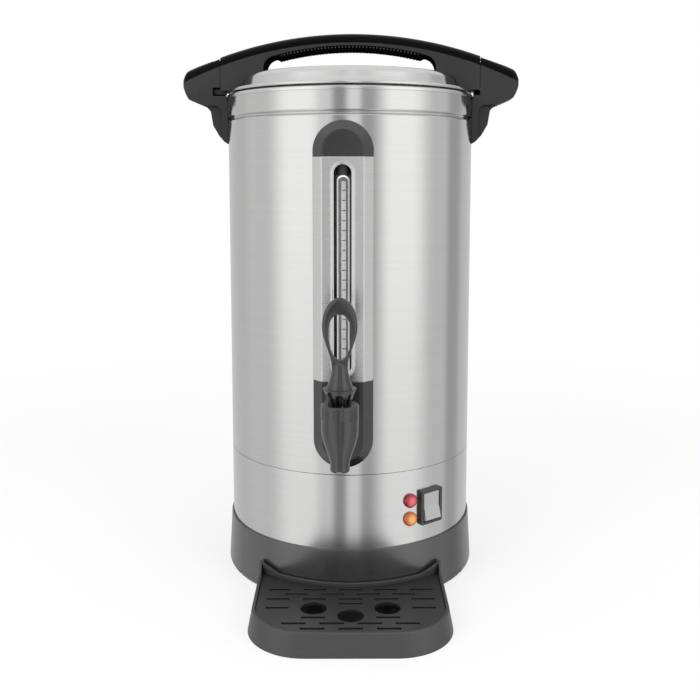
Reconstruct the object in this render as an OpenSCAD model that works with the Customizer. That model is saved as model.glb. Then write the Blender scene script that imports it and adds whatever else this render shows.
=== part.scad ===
// Catering coffee urn: a percolator tank with a sight gauge, a self-closing tap and a drip tray.
// Millimetres. +Z is up, the origin lies on the urn's axis at table level, and the tap faces -Y.

/* [Body] */
// Outer diameter of the steel body
body_d = 220; // [210:1:230]
// Thickness of the steel sheet of the body
body_sheet = 0.8; // [0.6:0.1:1]
// Height of the moulded base
base_h = 46; // [42:1:52]
// Height of the lower steel band that carries the controls
band_h = 64; // [62:1:76]
// Height of the upper steel shell
shell_h = 317; // [310:1:340]
// Distance from the rim down to the middle of the rolled bead
bead_drop = 20; // [18:1:28]
// Width of the rolled bead
bead_w = 5; // [4:0.5:8]
// Depth of the rolled bead
bead_depth = 2; // [1:0.25:2.5]

/* [Tank] */
// Air gap between the shell and the tank
tank_gap = 5.7; // [5:0.1:7]
// Thickness of the tank's steel
tank_sheet = 0.8; // [0.6:0.1:1]
// Height of the tank floor above the joint of band and shell
floor_rise = 8; // [7:0.5:12]
// Radius of the corner between the tank's floor and its wall
floor_corner = 12; // [8:1:16]
// Radius of the heating well in the floor
well_r = 32; // [28:1:36]
// Depth of the heating well
well_depth = 5; // [3:0.5:6]
// Height of the curled rim that grips the shell
rim_curl = 3; // [3:0.5:5]

/* [Base] */
// How far the base stands out past the body at its top
base_lip = 1.5; // [1:0.25:2.5]
// How much the base widens from its top to its bottom
base_flare = 2.5; // [1:0.25:4]
// Wall of the moulded base
base_wall = 3; // [2.5:0.25:3.5]
// Width of the flange that carries the bottom plate
base_flange_w = 10; // [9:0.5:12]
// Thickness of the bottom plate
plate_t = 1; // [0.8:0.1:1.5]
// Height of the rim below the flange of the base
plate_recess = 3; // [2.5:0.25:4]
// Diameter of a rubber foot
foot_d = 18; // [14:1:22]
// Distance of the feet from the axis
foot_ring_r = 84; // [78:1:88]
// Width of a vent notch in the bottom edge of the base
vent_w = 5; // [4:0.5:6]
// Height of a vent notch
vent_h = 4; // [3:0.5:5]

/* [Gauge column] */
// Width of the column where it meets the body
column_w = 48.4; // [46:0.2:52]
// Width of the column's flat front
column_face_w = 33.6; // [32:0.2:36]
// How far the column stands out from the body
column_proud = 16; // [16:0.5:18]
// Depth of the chamfer along the column's front edges
column_chamfer = 8; // [6:0.5:12]
// Distance from the rim down to the upper edge of the column's steel panel
column_drop = 55.5; // [52:0.5:80]
// Height of the panel's lower edge above the joint of band and shell
panel_rise = 82.5; // [80:0.5:84]
// Straight part of the cap above the panel
cap_straight = 4.5; // [3:0.1:8]
// Straight part of the tap housing below the panel
housing_straight = 49; // [48:0.5:52]
// Wall of the plastic cap and tap housing
cover_wall = 2; // [1.6:0.1:2]
// Width of the window in the panel
window_w = 14; // [13:0.5:17]
// Distance from the window's ends to the panel's ends
window_margin = 6; // [5:0.5:10]
// Outer diameter of the gauge tube
gauge_d = 10; // [9:0.25:10]
// Wall of the gauge tube
gauge_wall = 1; // [0.8:0.1:1.5]
// Distance between two marks of the level scale
mark_pitch = 8; // [7:0.5:12]
// Width of the level scale
scale_w = 3.8; // [3:0.2:5]
// Width of the raised lip round the window
lip_w = 2.4; // [1.5:0.1:3]

/* [Tap] */
// Distance of the spout's axis from the body
tap_reach = 56; // [54:1:64]
// Height of the tap's shank above the joint of band and shell
shank_rise = 45; // [42:0.5:46]
// Outer diameter of the threaded shank
shank_d = 16; // [15:0.5:17]
// Bore of the shank
shank_bore = 10; // [8:0.5:11]
// Outer diameter of the valve chamber under the bonnet
chamber_d = 28.4; // [27:0.2:29]
// Inner diameter of the valve chamber
chamber_bore = 21; // [20:0.5:22]
// Height of the tap body from the spout's end to the bonnet
tap_body_h = 41.8; // [40:0.2:44]
// Outer diameter of the spout
spout_d = 15; // [13:0.5:16]
// Bore of the spout
spout_bore = 9; // [7:0.5:10]
// Straight length of the spout
spout_straight = 7; // [5:0.5:8]
// Diameter of the bonnet
bonnet_d = 29; // [28.6:0.2:30]
// Height of the bonnet
bonnet_h = 10.7; // [10:0.1:14]
// Number of flutes round the bonnet
bonnet_flutes = 14; // [10:1:18]
// Diameter of the valve stem
stem_d = 5; // [4.5:0.25:5.5]

/* [Lever] */
// Diameter of the pin that the lever turns on
pin_d = 3; // [2.5:0.25:3]
// Height of the pin above the bonnet
pin_rise = 6; // [5.5:0.25:7]
// Radius of the crown's lower edge
crown_r = 8.2; // [8:0.1:9]
// Largest radius of the lever's skirt
skirt_r = 12.7; // [12:0.1:14]
// Height of the skirt's edge above the bonnet
skirt_rise = 11.5; // [10:0.5:12.5]
// Radius of the lever's neck
neck_r = 6.1; // [6:0.1:7]
// Height of the neck above the bonnet
neck_rise = 27.6; // [26:0.2:31]
// Outer width of the finger loop
loop_w = 26.8; // [25:0.2:30]
// Outer height of the finger loop
loop_h = 53.2; // [50:0.2:58]
// Height of the thumb pad over the loop's hole
loop_pad = 12.2; // [10:0.2:14]
// Width of the bar that forms the loop's sides
loop_bar = 5; // [4.6:0.2:6]
// Thickness of the loop from front to back
loop_depth = 8; // [7:0.5:9]

/* [Controls] */
// Angle from the tap to the pilot lamps
lamp_angle = 30; // [28:1:30]
// Height of the lower lamp above the base
lamp_rise = 22; // [18:1:24]
// Distance between the two lamps
lamp_pitch = 16; // [16:0.5:20]
// Diameter of a lamp lens
lamp_d = 12; // [10:0.5:12.5]
// Angle from the tap to the switch
switch_angle = 41; // [41:1:45]
// Height of the switch's middle above the base
switch_rise = 30; // [28:1:33]
// Width of the switch bezel
switch_w = 24; // [22:0.5:24]
// Height of the switch bezel
switch_h = 30; // [28:0.5:33]
// Tilt of the rocker either side of its middle
rocker_tilt = 7; // [5:0.5:7]

/* [Lid] */
// Thickness of the lid's steel
lid_sheet = 0.8; // [0.6:0.1:1]
// Distance from the body's side in to the lid's rolled edge
lid_inset = 0.3; // [0.2:0.1:1]
// Distance from the body's side in to the lid's raised part
dome_inset = 12; // [11:0.5:14]
// Height of the lid's raised part over its flange
dome_h = 16.5; // [14:0.5:19]
// Radius of the lid's shoulder
shoulder_r = 7; // [5:0.5:9]
// Depth of the skirt that centres the lid in the tank
skirt_depth = 10; // [7:0.5:14]
// Diameter of the steam vent
vent_cap_d = 18; // [15:0.5:20]

/* [Handles] */
// Width of the handles from front to back
handle_w = 30; // [28:0.5:33]
// Radius of the arch over the lid
arch_r = 350; // [330:5:370]
// Height of the arch's crest above the rim
arch_rise = 56; // [52:0.5:58]
// Thickness of the arch at its crest
arch_t = 11; // [10:0.2:14]
// Radius of the arch's underside
arch_inner_r = 265; // [250:5:280]
// Distance from the body's side in to the opening under the arch
leg_w = 33; // [30:1:40]
// Distance between two ridges of the grip under the arch
ridge_pitch = 3.1; // [2.5:0.1:4]
// Gap from the rim's axis side to the seam of lid handle and side handles
seam_reach = 7; // [6.5:0.25:8]
// Reach of the side handles from the body
grip_reach = 41; // [38:0.5:46]
// Height of the side handle's mounting bracket below the rim
bracket_drop = 41; // [40:0.5:52]
// Wall of the moulded side handles
handle_wall = 3; // [2.5:0.25:3.5]
// Width of the bracket's full-depth strip along the body
gusset_strip_w = 5; // [4:0.5:7]
// Depth of the bracket's recess beside that strip
gusset_depth = 4; // [3:0.5:5]
// Reach of the bayonet lug past the seam
lug_reach = 5.5; // [5:0.25:6]
// Width of the bayonet lug
lug_w = 10; // [8:0.5:10]
// Thickness of the bayonet lug
lug_t = 4.6; // [4:0.2:5]

/* [Percolator] */
// Outer diameter of the pump tube
pump_d = 10; // [9:0.5:11]
// Wall of the pump tube
pump_wall = 0.8; // [0.6:0.1:1]
// Distance from the pump tube's mouth down from the rim
pump_drop = 8; // [6:1:14]
// Outer diameter of the filter basket
basket_d = 128; // [110:1:140]
// Height of the filter basket
basket_h = 74; // [60:1:80]
// Distance from the rim down to the basket's upper edge
basket_drop = 30; // [28:1:40]
// Thickness of the sheet of basket and cover
basket_sheet = 0.8; // [0.6:0.1:1]
// Diameter of the drain holes in basket and cover
drain_d = 4; // [3:0.5:5]

/* [Heating] */
// Outer diameter of the sheathed boiling element
element_d = 8; // [7:0.5:8.5]
// Radius of the boiling element's ring
element_r = 58; // [56:1:64]
// Outer diameter of the sheathed keep-warm element
warmer_d = 6; // [5:0.5:6]
// Radius of the keep-warm element's ring
warmer_r = 43; // [42:0.5:46]
// Thickness of the aluminium plate that spreads the heat
spreader_t = 3; // [2:0.5:4]
// Outer radius of the heat spreader
spreader_r = 72; // [68:1:76]
// Distance of the tie studs from the axis
stud_ring_r = 66; // [66:0.5:67]
// Diameter of the tie studs
stud_d = 5; // [4:0.5:5]

/* [Drip tray] */
// Angle from the tap to the middle of the drip tray
tray_turn = 2.8; // [0:0.2:4]
// Width of the tray over its rim
tray_w = 156; // [150:1:160]
// How much the tray widens from its rim to its foot, each side
tray_flare = 3.5; // [2:0.25:4]
// Reach of the tray in front of the base
tray_reach = 86; // [84:1:98]
// Radius of the tray's front corners, at its foot
tray_corner = 47; // [42:1:50]
// Height of the tray's rim
tray_h = 18; // [17:0.5:20]
// Height of the ears at the tray's back corners, over its rim
ear_h = 8; // [6:0.5:9]
// Wall of the tray
tray_wall = 2.5; // [2:0.25:3]
// Thickness of the grille
grille_t = 2.5; // [2:0.25:3]
// Depth of the grille below the tray's rim
grille_drop = 1.5; // [1:0.25:2]
// Length of a slot in the grille
slot_l = 18.6; // [16:0.2:20]
// Width of a slot in the grille
slot_w = 3; // [1.8:0.1:3.2]
// Distance between two slots of one row
slot_pitch = 29.2; // [28:0.2:30]
// Diameter of the round drain holes in the grille
grille_hole_d = 21; // [19:0.5:22]
// Length of the tongues that slide into the base
tongue_l = 16; // [12:0.5:18]
// Width of a tongue
tongue_w = 16; // [12:0.5:18]

/* [Inlet] */
// Height of the power inlet's middle
inlet_z = 25; // [24:0.5:27]
// Width of the power inlet's flange
inlet_flange_w = 50; // [48:0.5:52]
// Height of the power inlet's flange
inlet_flange_h = 24; // [23:0.5:26]
// Distance between the inlet's fixing screws
inlet_screw_pitch = 40; // [39.5:0.25:40.5]

/* [Clearances] */
// Gap between pieces that only rest near each other
seat_gap = 0.2; // [0.1:0.05:0.3]
// Gap between pieces that move past each other
free_gap = 0.5; // [0.4:0.05:0.6]
// Radial gap of a pin that turns in its hole
pin_gap = 0.05; // [0.03:0.01:0.08]
// Radial gap between a screw's thread and its hole
thread_gap = 0.02; // [0.01:0.01:0.05]

/* [Hidden] */
$fn = 96;
eps = 0.01;
far = 400;

steel = "#c9cacb";
bright_steel = "#dcdddd";
dark_plastic = "#3f4042";
grip_plastic = "#2c2d2f";
rubber_grey = "#55565a";

// Levels of the body
body_r = body_d / 2;
band_foot = base_h - 2;
joint_z = base_h + band_h;
rim_z = joint_z + shell_h;
bead_z = rim_z - bead_drop;
tank_r = body_r - body_sheet - tank_gap;
tank_inner_r = tank_r - tank_sheet;
floor_z = joint_z + floor_rise;
well_z = floor_z - well_depth;
rim_top = rim_z + tank_sheet;
rim_r = body_r + tank_sheet + seat_gap;

// Base
base_top_r = body_r + base_lip;
base_foot_r = base_top_r + base_flare;
edge_round = 3;
flange_t = 2.5;
flange_top = plate_recess + flange_t;
flange_inner_r = base_foot_r - base_wall - base_flange_w;
plate_r = base_foot_r - base_wall - edge_round - seat_gap;
base_screw_r = flange_inner_r + 4;
base_screw_angles = [45 : 90 : 315];
screw_d = 3;
thread_d = screw_d + 2 * thread_gap;
head_d = 6;
head_t = 1.8;
base_screw_l = 11;
handle_screw_l = 7;
lid_screw_l = 12;
inlet_screw_l = 10;
vent_angles = [tray_turn - 60, tray_turn + 60, tray_turn + 120, tray_turn - 120];

// Gauge column and tap
face_y = -(body_r + column_proud);
root_y = -sqrt(pow(body_r, 2) - pow(column_w / 2, 2));
panel_z = joint_z + panel_rise;
panel_top = rim_z - column_drop;
gauge_y = face_y + cover_wall + seat_gap + gauge_d / 2 + 1.4;
gauge_socket_r = gauge_d / 2 + 1.4;
window_z = panel_z + window_margin;
window_top = panel_top - window_margin;
gauge_top = window_top - 4.5;
seal_top = gauge_top + 6;
shank_z = joint_z + shank_rise;
tap_y = -(body_r + tap_reach);
shank_r = shank_d / 2;
shank_inner_y = -(tank_inner_r - 12);
chamber_r = chamber_d / 2;
spout_z = shank_z - 22.5;
bonnet_z = spout_z + tap_body_h;
bonnet_top = bonnet_z + bonnet_h;
seat_z = shank_z - 7;
pin_z = bonnet_top + pin_rise;
washer_t = 2;
nut_t = 6;
lever_foot = bonnet_top + seat_gap + 0.1;
lever_top = bonnet_top + neck_rise + loop_h;
stem_top = pin_z + 3.2;
pin_l = 2 * crown_r + 3;

// Lid and handles
seal_t = 1.2;
seal_z = rim_top + seat_gap;
flange_z = seal_z + seal_t;
lid_r = body_r - lid_inset;
lid_bead_r = 1.5;
dome_r = body_r - dome_inset;
dome_top = flange_z + lid_sheet + dome_h;
arch_top = rim_z + arch_rise;
arch_z = arch_top - arch_r;
arch_opening = body_r - leg_w;
seam_r = body_r + seam_reach;
seam_gap = 0.25;
grip_x = body_r + grip_reach;
lug_z = rim_z + 2.5;
notch_z = lug_z - 1.5;
grip_low = rim_z - 7.5;
lug_y = handle_w / 2 - handle_wall - free_gap;
handle_clear_z = flange_z + 2 * lid_bead_r + free_gap;

// Percolator
pump_r = pump_d / 2;
pump_top = rim_z - pump_drop;
basket_top = rim_z - basket_drop;
basket_z = basket_top - basket_h;
basket_r = basket_d / 2;
collar_r = pump_r + 3;
collar_h = 4;
core_r = pump_r + free_gap;
cover_t = 2.5;

// Heating
spreader_z = floor_z - tank_sheet - spreader_t;
element_z = spreader_z - element_d / 2;
warmer_z = spreader_z - warmer_d / 2;
nut_af = 8;

// Drip tray
tray_half = tray_w / 2;
tray_front = base_foot_r + tray_reach;
tray_root = base_foot_r - 34;
tray_back_r = base_foot_r + free_gap;
grille_top = tray_h - grille_drop;
grille_z = grille_top - grille_t;
tongue_z = flange_top + free_gap;
tongue_t = 3;
tongue_x = 45;
tray_floor = 2.5;

// ---------------------------------------------------------------- helpers

// Points along an arc, from angle a0 to angle a1
function arc(c, r, a0, a1, n = 8) =
    [for (i = [0 : n]) let (a = a0 + (a1 - a0) * i / n) c + r * [cos(a), sin(a)]];

function left_of(a, b) = let (d = (b - a) / norm(b - a)) [-d[1], d[0]];

// Offset of point i of a path to its left by t, with mitred corners
function mitred(p, i, t) =
    let (
        n0 = left_of(p[max(i - 1, 0)], p[max(i, 1)]),
        n1 = left_of(p[min(i, len(p) - 2)], p[min(i + 1, len(p) - 1)])
    ) p[i] + t * (n0 + n1) / (1 + n0 * n1);

// Outline of a sheet of thickness t that lies along a path, on its left side
function sheet(p, t) = concat(p, [for (i = [len(p) - 1 : -1 : 0]) mitred(p, i, t)]);

// Smooth step from 0 to 1
function ease(t) = (1 - cos(180 * t)) / 2;

module around(angles) {
    for (a = angles) rotate([0, 0, a]) children();
}

// Turns a piece drawn at the front to an angle round the body
module facing(angle, z = 0) {
    rotate([0, 0, angle]) translate([0, -body_r, z]) children();
}

// Cylinder along -Y from y0 to y1
module bar_y(r, y0, y1, z) {
    translate([0, y0, z]) rotate([90, 0, 0]) cylinder(r = r, h = y0 - y1);
}

// Slot with round ends along Z, cut from y0 to y1
module slot_y(w, z0, z1, y0, y1) {
    for (z = [z0 + w / 2, z1 - w / 2]) bar_y(w / 2, y0, y1, z);
    translate([-w / 2, y1, z0 + w / 2]) cube([w, y0 - y1, z1 - z0 - w]);
}

module bar_x(r, x0, x1, y, z) {
    translate([x0, y, z]) rotate([0, 90, 0]) cylinder(r = r, h = x1 - x0);
}

module ring(r_out, r_in, z0, z1) {
    translate([0, 0, z0]) difference() {
        cylinder(r = r_out, h = z1 - z0);
        translate([0, 0, -1]) cylinder(r = r_in, h = z1 - z0 + 2);
    }
}

module disc(r, z0, z1) {
    translate([0, 0, z0]) cylinder(r = r, h = z1 - z0);
}

// Prism along Z with a rounded rectangle for its section
module rounded_bar(w, d, h, r) {
    linear_extrude(h) offset(r = r, $fn = 24) square([w - 2 * r, d - 2 * r], center = true);
}

// Prism through the front to back direction from an outline in X and Z
module slab_xz(depth) {
    rotate([90, 0, 0]) linear_extrude(depth, center = true) children();
}

// A machine screw along -Z with its head's seat at z = 0 and its shaft below
module screw(shaft_l, d = screw_d, head = head_d, t = head_t) {
    difference() {
        union() {
            cylinder(d = head, h = t * 0.6);
            translate([0, 0, t * 0.6]) cylinder(d1 = head, d2 = head * 0.75, h = t * 0.4);
            translate([0, 0, -shaft_l]) cylinder(d = d, h = shaft_l);
        }
        for (a = [0, 90]) rotate([0, 0, a])
            translate([-head * 0.3, -0.4, t * 0.5]) cube([head * 0.6, 0.8, t]);
    }
}

module hex_nut(af, t, bore) {
    difference() {
        cylinder(d = af / cos(30), h = t, $fn = 6);
        translate([0, 0, -1]) cylinder(d = bore, h = t + 2);
    }
}

// ---------------------------------------------------------------- base

module base_outline() {
    foot_edge = arc([base_foot_r - edge_round, edge_round], edge_round, -90, 0, 5);
    outer = concat(foot_edge, [[base_top_r, base_h]]);
    ledge = [[body_r + seat_gap, base_h], [body_r + seat_gap, band_foot], [body_r - 4, band_foot]];
    polygon(concat(
        outer,
        ledge,
        [
            [body_r - 4, band_foot - base_wall],
            [base_top_r - base_wall - 0.5, band_foot - base_wall],
            [base_foot_r - base_wall, flange_top],
            [flange_inner_r, flange_top],
            [flange_inner_r, plate_recess],
            [plate_r + seat_gap, plate_recess],
            [plate_r + seat_gap, 0]
        ]
    ));
}

module base() {
    color(dark_plastic) difference() {
        union() {
            rotate_extrude($fn = 144) base_outline();
            around(base_screw_angles) translate([0, -base_screw_r, flange_top - eps]) cylinder(d = 8, h = 9);
            base_inlet_pad();
        }
        around(base_screw_angles)
            translate([0, -base_screw_r, -1]) cylinder(d = thread_d, h = flange_top + 9);
        around(vent_angles)
            translate([-vent_w / 2, -base_foot_r - 1, -1]) cube([vent_w, edge_round + 1.5, vent_h + 1]);
        rotate([0, 0, tray_turn]) for (s = [-1, 1])
            translate([s * tongue_x - tongue_w / 2 - free_gap, -base_foot_r - 1, tongue_z - free_gap + 0.2])
                cube([tongue_w + 2 * free_gap, 22, tongue_t + 2 * free_gap]);
        base_inlet_cuts();
    }
}

module base_inlet_pad() {
    pad_depth = 12;
    pad_h = band_foot - base_wall - flange_top;
    intersection() {
        translate([-inlet_flange_w / 2 - 2, body_r - pad_depth, flange_top])
            cube([inlet_flange_w + 4, inlet_y - body_r + pad_depth, pad_h]);
        disc(base_foot_r + 1.2, 0, base_h);
    }
}

inlet_y = body_r + base_lip + base_flare / 2 + 1.5;
inlet_body_w = 27;
inlet_body_h = 19.6;

module base_inlet_cuts() {
    translate([-inlet_flange_w / 2 - 6, inlet_y - 1.5, inlet_z - inlet_flange_h / 2 - 1])
        cube([inlet_flange_w + 12, 10, inlet_flange_h + 2]);
    translate([-inlet_body_w / 2 - 0.3, body_r - 20, inlet_z - inlet_body_h / 2 - 0.3])
        cube([inlet_body_w + 0.6, 40, inlet_body_h + 0.6]);
    for (s = [-1, 1]) translate([s * inlet_screw_pitch / 2, inlet_y + 1, inlet_z]) rotate([90, 0, 0])
        cylinder(d = thread_d, h = 14);
}

module bottom_plate() {
    color(steel) difference() {
        disc(plate_r, plate_recess - plate_t, plate_recess);
        around(base_screw_angles) translate([0, -base_screw_r, 0]) cylinder(d = screw_d + 0.6, h = 10);
        around([0 : 90 : 270]) translate([0, -foot_ring_r, 0]) cylinder(d = 6, h = 10);
        around([0 : 120 : 240]) translate([0, -stud_ring_r, 0]) cylinder(d = stud_d + 0.6, h = 10);
        around([15 : 30 : 345]) translate([-1.5, -52, 0]) cube([3, 26, 10]);
    }
}

module base_screws() {
    color(bright_steel) around(base_screw_angles)
        translate([0, -base_screw_r, plate_recess - plate_t]) rotate([180, 0, 0]) screw(base_screw_l);
}

module feet() {
    foot_z = plate_recess - plate_t;
    color("#26272a") around([0 : 90 : 270]) translate([0, -foot_ring_r, 0]) {
        cylinder(d1 = foot_d - 2, d2 = foot_d, h = foot_z);
        cylinder(d = 6, h = plate_recess);
        translate([0, 0, plate_recess]) cylinder(d1 = 8, d2 = 6, h = 2);
    }
}

// ---------------------------------------------------------------- body

module control_band() {
    color(steel) difference() {
        rotate_extrude($fn = 192)
            translate([body_r - body_sheet, band_foot]) square([body_sheet, joint_z - band_foot]);
        for (z = lamp_levels) facing(lamp_angle, z) rotate([90, 0, 0]) translate([0, 0, -10])
            cylinder(r = lamp_body_r + seat_gap, h = 20);
        facing(switch_angle, switch_z) translate([-switch_body_w / 2 - 0.3, -5, -switch_body_h / 2 - 0.3])
            cube([switch_body_w + 0.6, 15, switch_body_h + 0.6]);
    }
}

sleeve_lap = 9;

module joining_sleeve() {
    sleeve_r = body_r - body_sheet - seat_gap / 2;
    color(steel) rotate_extrude($fn = 144) polygon([
        [sleeve_r - 1, joint_z - sleeve_lap], [sleeve_r, joint_z - sleeve_lap],
        [sleeve_r, joint_z + sleeve_lap], [sleeve_r - 1, joint_z + sleeve_lap]
    ]);
}

function shell_path() = concat(
    [[body_r, joint_z + 0.4], [body_r, bead_z - bead_w / 2]],
    [for (t = [0.125 : 0.125 : 0.875])
        [body_r - bead_depth * (1 - cos(360 * t)) / 2, bead_z + bead_w * (t - 0.5)]],
    [[body_r, bead_z + bead_w / 2], [body_r, rim_z - 0.5]]
);

module body_shell() {
    color(steel) difference() {
        rotate_extrude($fn = 192) polygon(sheet(shell_path(), body_sheet));
        bar_y(shank_r + seat_gap, 0, -body_r - 5, shank_z);
        for (s = [-1, 1]) for (z = handle_screw_levels) scale([s, 1, 1])
            bar_x(screw_d / 2 + 0.2, body_r - 8, body_r + 8, 0, z);
    }
}

function tank_path() = concat(
    [[0, well_z], [well_r - 2, well_z], [well_r, floor_z - 1], [well_r + 2, floor_z]],
    arc([tank_inner_r - floor_corner, floor_z + floor_corner], floor_corner, -90, 0, 6),
    arc([tank_inner_r + 1, rim_top - 1], 1, 180, 90, 3),
    arc([rim_r - 1.2, rim_top - 1.2], 1.2, 90, 0, 4),
    [[rim_r, rim_top - rim_curl]]
);

module tank() {
    color(bright_steel) difference() {
        rotate_extrude($fn = 144) polygon(sheet(tank_path(), -tank_sheet));
        bar_y(shank_r + seat_gap, 0, -body_r + 4, shank_z);
    }
}

// ---------------------------------------------------------------- gauge column

// Half of the column's plan, from the body along its side and its chamfer to the front face, set in by a wall
function column_half(inset) =
    let (
        edge_y = face_y + column_chamfer,
        outer = [[column_w / 2, root_y + 3], [column_w / 2, edge_y], [column_face_w / 2, face_y], [0, face_y]]
    ) [for (i = [0 : 2]) mitred(outer, i, -inset)];

module column_plan(inset = 0) {
    half = column_half(inset);
    polygon(concat(half, [for (i = [2 : -1 : 0]) [-half[i][0], half[i][1]]]));
}

module column_prism(z0, z1, inset = 0) {
    translate([0, 0, z0]) linear_extrude(z1 - z0) column_plan(inset);
}

// Rounded end of the column: a drum with a cone before it, whose flat is the front face
module column_end(z, inset = 0) {
    half = column_half(inset);
    edge = half[1];
    face = half[2];
    bar_y(edge[0], root_y + 3, edge[1], z);
    translate([0, edge[1], z]) rotate([90, 0, 0]) cylinder(r1 = edge[0], r2 = face[0], h = edge[1] - face[1]);
}

module body_clearance(gap = seat_gap / 2) {
    disc(body_r + gap, 0, far * 2);
}

module column_panel() {
    lip_h = 0.5;
    color(bright_steel) difference() {
        union() {
            column_prism(panel_z, panel_top);
            for (step = [1, 2]) {
                w = lip_w / step;
                front_y = face_y - lip_h * step / 2;
                slot_y(window_w + 2 * w, window_z - w, window_top + w, face_y + body_sheet / 2, front_y);
            }
        }
        column_prism(panel_z - 1, panel_top + 1, body_sheet);
        body_clearance();
        slot_y(window_w, window_z, window_top, face_y + 3, face_y - 3);
    }
}

module column_cap() {
    straight_top = panel_top + cap_straight;
    color(dark_plastic) difference() {
        union() {
            column_prism(panel_top, straight_top);
            column_end(straight_top);
        }
        translate([-50, -far, 0]) cube([100, far, panel_top]);
        column_prism(panel_top - 1, straight_top, cover_wall);
        column_end(straight_top, cover_wall);
        body_clearance();
        column_cap_recess(straight_top);
    }
    color(dark_plastic) gauge_retainer();
}

// Peg inside the cap that holds the tube's upper seal down
module gauge_retainer() {
    arm_w = 8;
    arm_t = 4;
    arm_z = panel_top + 1;
    peg_z = seal_top + seat_gap / 2;
    difference() {
        union() {
            translate([-arm_w / 2, face_y + cover_wall - 0.6, arm_z]) cube([arm_w, gauge_y - face_y, arm_t]);
            translate([0, gauge_y, 0]) disc(gauge_d / 2 - 1.2, peg_z, arm_z + arm_t);
        }
        translate([0, gauge_y, 0]) disc(1, peg_z - 1, arm_z + arm_t + 1);
    }
}

// Shallow recess in the flat face of the cap
module column_cap_recess(straight_top) {
    margin = 1.2;
    depth = 0.6;
    bar_y(column_face_w / 2 - margin, face_y + depth, face_y - 1, straight_top);
    translate([-column_face_w / 2 + margin, face_y - 1, panel_top + margin])
        cube([column_face_w - 2 * margin, depth + 1, cap_straight - margin]);
}

module tap_housing() {
    straight_foot = panel_z - housing_straight;
    color(dark_plastic) difference() {
        union() {
            column_prism(straight_foot, panel_z);
            column_end(straight_foot);
        }
        column_prism(straight_foot, panel_z + 1, cover_wall);
        column_end(straight_foot, cover_wall);
        bar_y(shank_r + seat_gap, root_y, face_y - 5, shank_z);
        body_clearance();
    }
}

module gauge_tube() {
    color([0.85, 0.92, 0.95, 0.45]) translate([0, gauge_y, 0])
        ring(gauge_d / 2, gauge_d / 2 - gauge_wall, shank_z + shank_r + 4, gauge_top);
}

scale_y = gauge_y + gauge_d / 2 + 0.9;
scale_t = 0.4;

// Dark strip behind the tube, which closes the window to the inside of the column
module gauge_backing() {
    color("#232425") translate([-column_face_w / 2 + 2, scale_y, window_z - 2])
        cube([column_face_w - 4, 1.2, window_top - window_z + 4]);
}

// Level scale on the backing: a light strip with open marks
module gauge_scale() {
    line_w = 0.9;
    z0 = window_z + 2;
    marks = floor((gauge_top - 6 - z0) / mark_pitch);
    color("#e8e8e6") translate([-scale_w / 2, scale_y - scale_t - eps, z0]) difference() {
        cube([scale_w, scale_t, marks * mark_pitch]);
        for (i = [1 : marks - 1]) translate([0.6, -1, i * mark_pitch]) cube([scale_w, scale_t + 2, line_w]);
    }
}

module gauge_seals() {
    color("#3a3a3c") translate([0, gauge_y, 0]) {
        difference() {
            disc(gauge_d / 2 + 0.8, gauge_top - 4, seal_top);
            disc(gauge_d / 2 + eps, gauge_top - 5, gauge_top);
            disc(1, gauge_top - 1, seal_top + 1);
        }
    }
}

// ---------------------------------------------------------------- tap

function tulip_r(t) = spout_d / 2 + (chamber_r - spout_d / 2) * pow(sin(90 * t), 1.25);

module tap_body_outline() {
    foot = spout_z + spout_straight;
    belly = bonnet_z - 8;
    polygon(concat(
        [[0, spout_z], [spout_d / 2 - 0.8, spout_z], [spout_d / 2, spout_z + 0.8]],
        [for (i = [0 : 10]) [tulip_r(i / 10), foot + (belly - foot) * i / 10]],
        [[chamber_r, bonnet_z], [0, bonnet_z]]
    ));
}

module tap_body() {
    flange_y = face_y - seat_gap;
    color(dark_plastic) difference() {
        union() {
            translate([0, tap_y, 0]) rotate_extrude() tap_body_outline();
            bar_y(shank_r + 1.5, flange_y, tap_y, shank_z);
            bar_y(shank_r + 4, flange_y, flange_y - 3, shank_z);
            bar_y(shank_r, shank_inner_y, flange_y, shank_z);
            translate([0, gauge_y, 0]) disc(gauge_socket_r, shank_z, shank_z + shank_r + 9);
            translate([0, tap_y, 0]) ring(chamber_r - 2, chamber_bore / 2, bonnet_z - eps, bonnet_top - 6);
        }
        translate([0, tap_y, 0]) {
            disc(chamber_bore / 2, seat_z, bonnet_top + 1);
            disc(spout_bore / 2, spout_z - 1, seat_z + 1);
        }
        bar_y(shank_bore / 2, 0, tap_y, shank_z);
        translate([0, gauge_y, 0]) {
            disc(gauge_d / 2 + eps, shank_z + shank_r + 4, shank_z + far);
            disc(gauge_d / 2 - gauge_wall, shank_z, shank_z + far);
        }
    }
}

module tap_bonnet() {
    cap_t = 4;
    color(dark_plastic) translate([0, tap_y, 0]) difference() {
        union() {
            disc(bonnet_d / 2, bonnet_z, bonnet_top - 1);
            translate([0, 0, bonnet_top - 1]) cylinder(r1 = bonnet_d / 2, r2 = bonnet_d / 2 - 1, h = 1);
        }
        disc(chamber_r - 2 + 0.05, bonnet_z - 1, bonnet_top - cap_t);
        disc(stem_d / 2 + 0.3, bonnet_z, bonnet_top + 1);
        around([0 : 360 / bonnet_flutes : 359]) translate([bonnet_d / 2 + 1.1, 0, bonnet_z - 1])
            cylinder(r = 1.7, h = bonnet_h - 1, $fn = 24);
    }
}

washer_r = shank_r + 4;
washer_y = -sqrt(pow(tank_inner_r, 2) - pow(washer_r, 2)) + eps;

module tap_nut() {
    color(bright_steel) translate([0, washer_y + washer_t, shank_z]) rotate([-90, 0, 0])
        hex_nut(shank_d + 8, nut_t, shank_d + 2 * eps);
}

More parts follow.
